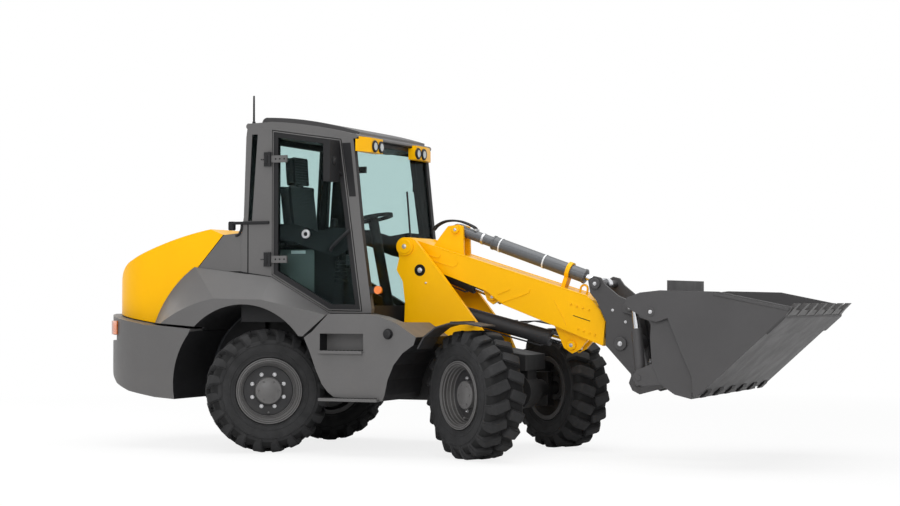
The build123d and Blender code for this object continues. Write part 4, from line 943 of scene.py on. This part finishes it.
for side in BOTH:
    seams.box(-106, -96, side * (CAB_HALF - 2), side * (CAB_HALF + 1.5), 1502, 1936, 0)
    seams.prism(FENDER_SEAM, side * (CAB_HALF - 7), side * (CAB_HALF + 1.5))
seams.done()
splash = Kit("rear_arch_panels", "plastic", "chassis")
turns = [radians(a) for a in range(102, 173, 7)]
arc = [(ARCH[0] + SPLASH_R * cos(a), ARCH[1] + SPLASH_R * sin(a)) for a in turns]
for side in BOTH:
    splash.prism(arc + [(-715, SPLASH_LOW), (arc[0][0], SPLASH_LOW)], side * 268, side * 280, 2)
splash.done()
lining = Kit("roof_lining", "plastic", "chassis")
lining.prism(ROOF_LINING, -600, 600, 10)
lining.done()
wiper = Kit("screen_wiper", "plastic", "chassis")
wiper.turned(at(1052, 120, 1284), X, [(-6, 26), (16, 24), (22, 12)], 20)
wiper.pipe(WIPER_ARM, 7, 6, 8)
wiper.pipe(WIPER_BLADE, 9, 6, 6)
wiper.done()
whip = Kit("aerial_sleeve", "plastic", "chassis")
whip.turned(side_point(AERIAL, 60 - CAB_HALF), Z, AERIAL_SLEEVE, 16)
whip.done()

# Steps: raised bars on each tread; first x, last x, top, reach past the body
TREADS = ((700, 1080, 870, 30), (712, 1224, 480, 50))
BAR_PITCH = 34
BAR_HALF = 7
tread = Kit("step_bars", "black", "chassis")
for side in BOTH:
    for x_a, x_b, z, depth in TREADS:
        count = int((x_b - x_a) / BAR_PITCH)
        y_a, y_b = side * (BODY_HALF - 54), side * (BODY_HALF + depth - 4)
        for k in range(count):
            x = x_a + (k + 0.5) * (x_b - x_a) / count
            tread.box(x - BAR_HALF, x + BAR_HALF, y_a, y_b, z - 1, z + 5, 1.5)
tread.done()

# Tank fillers
FILLER = (1317, 1010)
FILLER_CAP = ((-2, 44), (4, 44), (4, 36), (26, 34), (30, 28), (31, 4))
fillers = Kit("tank_fillers", "plastic", "chassis")
for side in BOTH:
    fillers.turned(side_point(FILLER, side * BODY_HALF), Y * side, FILLER_CAP, 28)
fillers.done()

# Lamp bezels
LAMP = (983, 2584)
LAMP_YS = (375, 495)
bezel = Kit("lamp_bezels", "plastic", "chassis")
for side in BOTH:
    for y in LAMP_YS:
        bezel.ring(side_point(LAMP, side * y), X, 40, 12, 36, 10)
bezel.done()

# Seat: pedestal, cushions and headrest stand for the plain seat solid
SEAMS = (-0.45, 0.45)
SEAM_HALF = 0.1
SEAM_DEPTH = 0.35
SIDE_PULL = 0.05
PAD_BEVEL = 18


def cushion(name, centre, size, tilt, crown):
    """Crowned pad with sewn channels along it; centre in mm, size in mm along x, y, z."""
    bm = bmesh.new()
    bmesh.ops.create_cube(bm, size=2.0)
    bmesh.ops.subdivide_edges(bm, edges=bm.edges[:], cuts=11, use_grid_fill=True)
    for v in bm.verts:
        x, y, z = v.co
        pull = 1 - SIDE_PULL * (1 - z * z)
        rise = 0.0
        if z > 0:
            lift = (1 - abs(x) ** 3) * (1 - abs(y) ** 3)
            seam = SEAM_DEPTH * sum(max(0.0, 1 - abs(y - s) / SEAM_HALF) for s in SEAMS)
            rise = crown * lift * (1 - seam)
        v.co = Vector((x * size[0] / 2 * pull, y * size[1] / 2 * pull, z * size[2] / 2 + rise))
    corners = [e for e in bm.edges if e.calc_face_angle(0) > 1.0]
    bmesh.ops.bevel(bm, geom=corners, offset=PAD_BEVEL, segments=3, affect="EDGES")
    turn = Matrix.Rotation(tilt, 4, "Y")
    for v in bm.verts:
        p = turn @ v.co
        v.co = at(centre[0] + p.x, centre[1] + p.y, centre[2] + p.z)
    made = piece_of(name, bm, "cloth")
    smoother = made.modifiers.new("round", "SUBSURF")
    smoother.levels = smoother.render_levels = 1
    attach(made, "chassis")
    return made


PEDESTAL = ((115, 1152), (475, 1152), (440, 1330), (470, 1548), (100, 1548), (150, 1330))
HEADREST_POST = ((2, 2240), (-4, 2310), (-10, 2390))
cushion("seat_cushion", (300, 0, 1612), (500, 480, 96), radians(-4), 20)
cushion("seat_backrest", (4, 0, 1976), (640, 480, 104), radians(-97), 24)
cushion("seat_headrest", (-28, 0, 2424), (250, 290, 88), radians(-94), 18)
stand = Kit("seat_pedestal", "plastic", "chassis")
stand.prism(PEDESTAL, -185, 185, 14)
stand.box(60, 540, -240, 240, 1546, 1566, 6)
for side in BOTH:
    stand.pipe(flat(HEADREST_POST, side * 50), 8, 4, 10)
stand_piece = stand.done()
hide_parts("seat")

# Armrest with joystick, and the knob behind it
STICK_Y = -410
STICK = ((540, 1755), (560, 1840), (556, 1905))
stick = Kit("joystick", "plastic", "chassis")
stick.box(120, 560, -505, -315, 1722, 1760, 12)
stick.pipe(flat(STICK, STICK_Y), 13, 6, 12)
stick.turned(at(556, STICK_Y, 1890), Z, [(0, 14), (10, 24), (60, 30), (88, 26), (98, 8)], 20)
stick.turned(at(60, STICK_Y, 1722), Z, [(0, 60), (30, 40), (60, 18)], 20)
stick.done()

# Lever with a folded boot beside the console, the console's dark front half and its plain plate
FOLDS = 6
FOLD_HEIGHT = 30
FOLD_TAPER = 4
BOOT_R = 66
# One fold: rise from its foot, depth below its widest radius
FOLD = ((0, 0), (24, 2), (28, 16))
LEVER = [(184, 20), (250, 14)]
boot = Kit("lever_boot", "plastic", "chassis")
boot.box(410, 622, -503, -498, 1158, 1716, 3)
boot.box(640, 740, -600, -500, 1152, 1442, 6)
folds = [
    (fold * FOLD_HEIGHT + rise, BOOT_R - fold * FOLD_TAPER - fall)
    for fold in range(FOLDS) for rise, fall in FOLD
]
boot.turned(at(690, -550, 1440), Z, folds + LEVER, 24)
boot.done()
plate = Kit("console_plate", "strap", "chassis")
plate.box(185, 325, -502.5, -499, 1684, 1712, 1)
plate.done()

# Camera at the photograph's place
YAW = radians(23.85)
PITCH = radians(1.42)
FOCAL_PX = 1872.9
IMAGE_W = 900.0
SENSOR_MM = 36.0
CAMERA_PLACE = (7946.0, -14678.0, 1292.0)
camera_data = bpy.data.cameras.new("photo_camera")
camera_data.sensor_width = SENSOR_MM
camera_data.lens = FOCAL_PX / IMAGE_W * SENSOR_MM
camera_data.clip_end = 400.0
camera = bpy.data.objects.new("photo_camera", camera_data)
SCENE.collection.objects.link(camera)
camera.location = at(*CAMERA_PLACE)
view = Vector((-sin(YAW) * cos(PITCH), cos(YAW) * cos(PITCH), sin(PITCH)))
camera.rotation_mode = "QUATERNION"
camera.rotation_quaternion = view.to_track_quat("-Z", "Y")
SCENE.camera = camera

# Floor: pale round the machine, white from FLOOR_FAR metres on where the camera sees it
WHITE = (1, 1, 1, 1)
FLOOR_TONE = (0.9, 0.9, 0.9, 1)
FLOOR_NEAR = 3.5
FLOOR_FAR = 11.0
FLOOR_SEEN = 0.82
bpy.ops.mesh.primitive_plane_add(size=160, location=(0, 0, 0))
floor = bpy.context.object
floor.name = "studio_floor"
g = Graph("floor_look")
g.tree.nodes.remove(g.bsdf)
diffuse = g.node("ShaderNodeBsdfDiffuse", {"Color": FLOOR_TONE})
glow = g.node("ShaderNodeEmission", {"Color": WHITE, "Strength": 1.0})
reach = g.node("ShaderNodeVectorMath", {0: g.coords}, operation="LENGTH").outputs["Value"]
fade = g.span(reach, FLOOR_NEAR, FLOOR_FAR, FLOOR_SEEN, 1.0)
seen = g.math("MULTIPLY", fade, g.node("ShaderNodeLightPath").outputs["Is Camera Ray"])
joined = g.node("ShaderNodeMixShader", {"Fac": seen, 1: diffuse.outputs[0], 2: glow.outputs[0]})
g.tree.links.new(joined.outputs[0], g.tree.nodes["Material Output"].inputs["Surface"])
floor.data.materials.append(g.material)
floor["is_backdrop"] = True

# World: white where the camera, glass or gloss sees it, and dimmer as light
WORLD_LIGHT = 0.5
WORLD_SEEN = 1.0
world = bpy.data.worlds.new("studio_world")
SCENE.world = world
world.use_nodes = True
tree = world.node_tree
sky = tree.nodes["Background"]
sky.inputs["Color"].default_value = WHITE
path = tree.nodes.new("ShaderNodeLightPath").outputs
seen = path["Is Camera Ray"]
for ray in ("Is Transmission Ray", "Is Glossy Ray"):
    either = tree.nodes.new("ShaderNodeMath")
    either.operation = "MAXIMUM"
    tree.links.new(seen, either.inputs[0])
    tree.links.new(path[ray], either.inputs[1])
    seen = either.outputs[0]
level = tree.nodes.new("ShaderNodeMapRange")
level.inputs["To Min"].default_value = WORLD_LIGHT
level.inputs["To Max"].default_value = WORLD_SEEN
tree.links.new(seen, level.inputs["Value"])
tree.links.new(level.outputs["Result"], sky.inputs["Strength"])

# Lights: name, place, aim, width, height, watts
LIGHTS = (
    ("top_light", (0.0, -1.0, 9.0), (0.0, 0.0, 0.0), 11.0, 9.0, 620.0),
    ("camera_side_light", (3.0, -11.0, 5.5), (0.0, 0.0, 1.0), 9.0, 5.0, 520.0),
    ("rear_light", (-10.0, 2.0, 5.0), (0.0, 0.0, 1.2), 5.0, 5.0, 240.0),
)
for name, place, aim, width, height, watts in LIGHTS:
    data = bpy.data.lights.new(name, "AREA")
    data.shape = "RECTANGLE"
    data.size, data.size_y, data.energy = width, height, watts
    light = bpy.data.objects.new(name, data)
    SCENE.collection.objects.link(light)
    light.location = place
    light.rotation_mode = "QUATERNION"
    light.rotation_quaternion = (Vector(aim) - Vector(place)).to_track_quat("-Z", "Y")

SCENE.view_settings.view_transform = "Standard"

low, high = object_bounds()
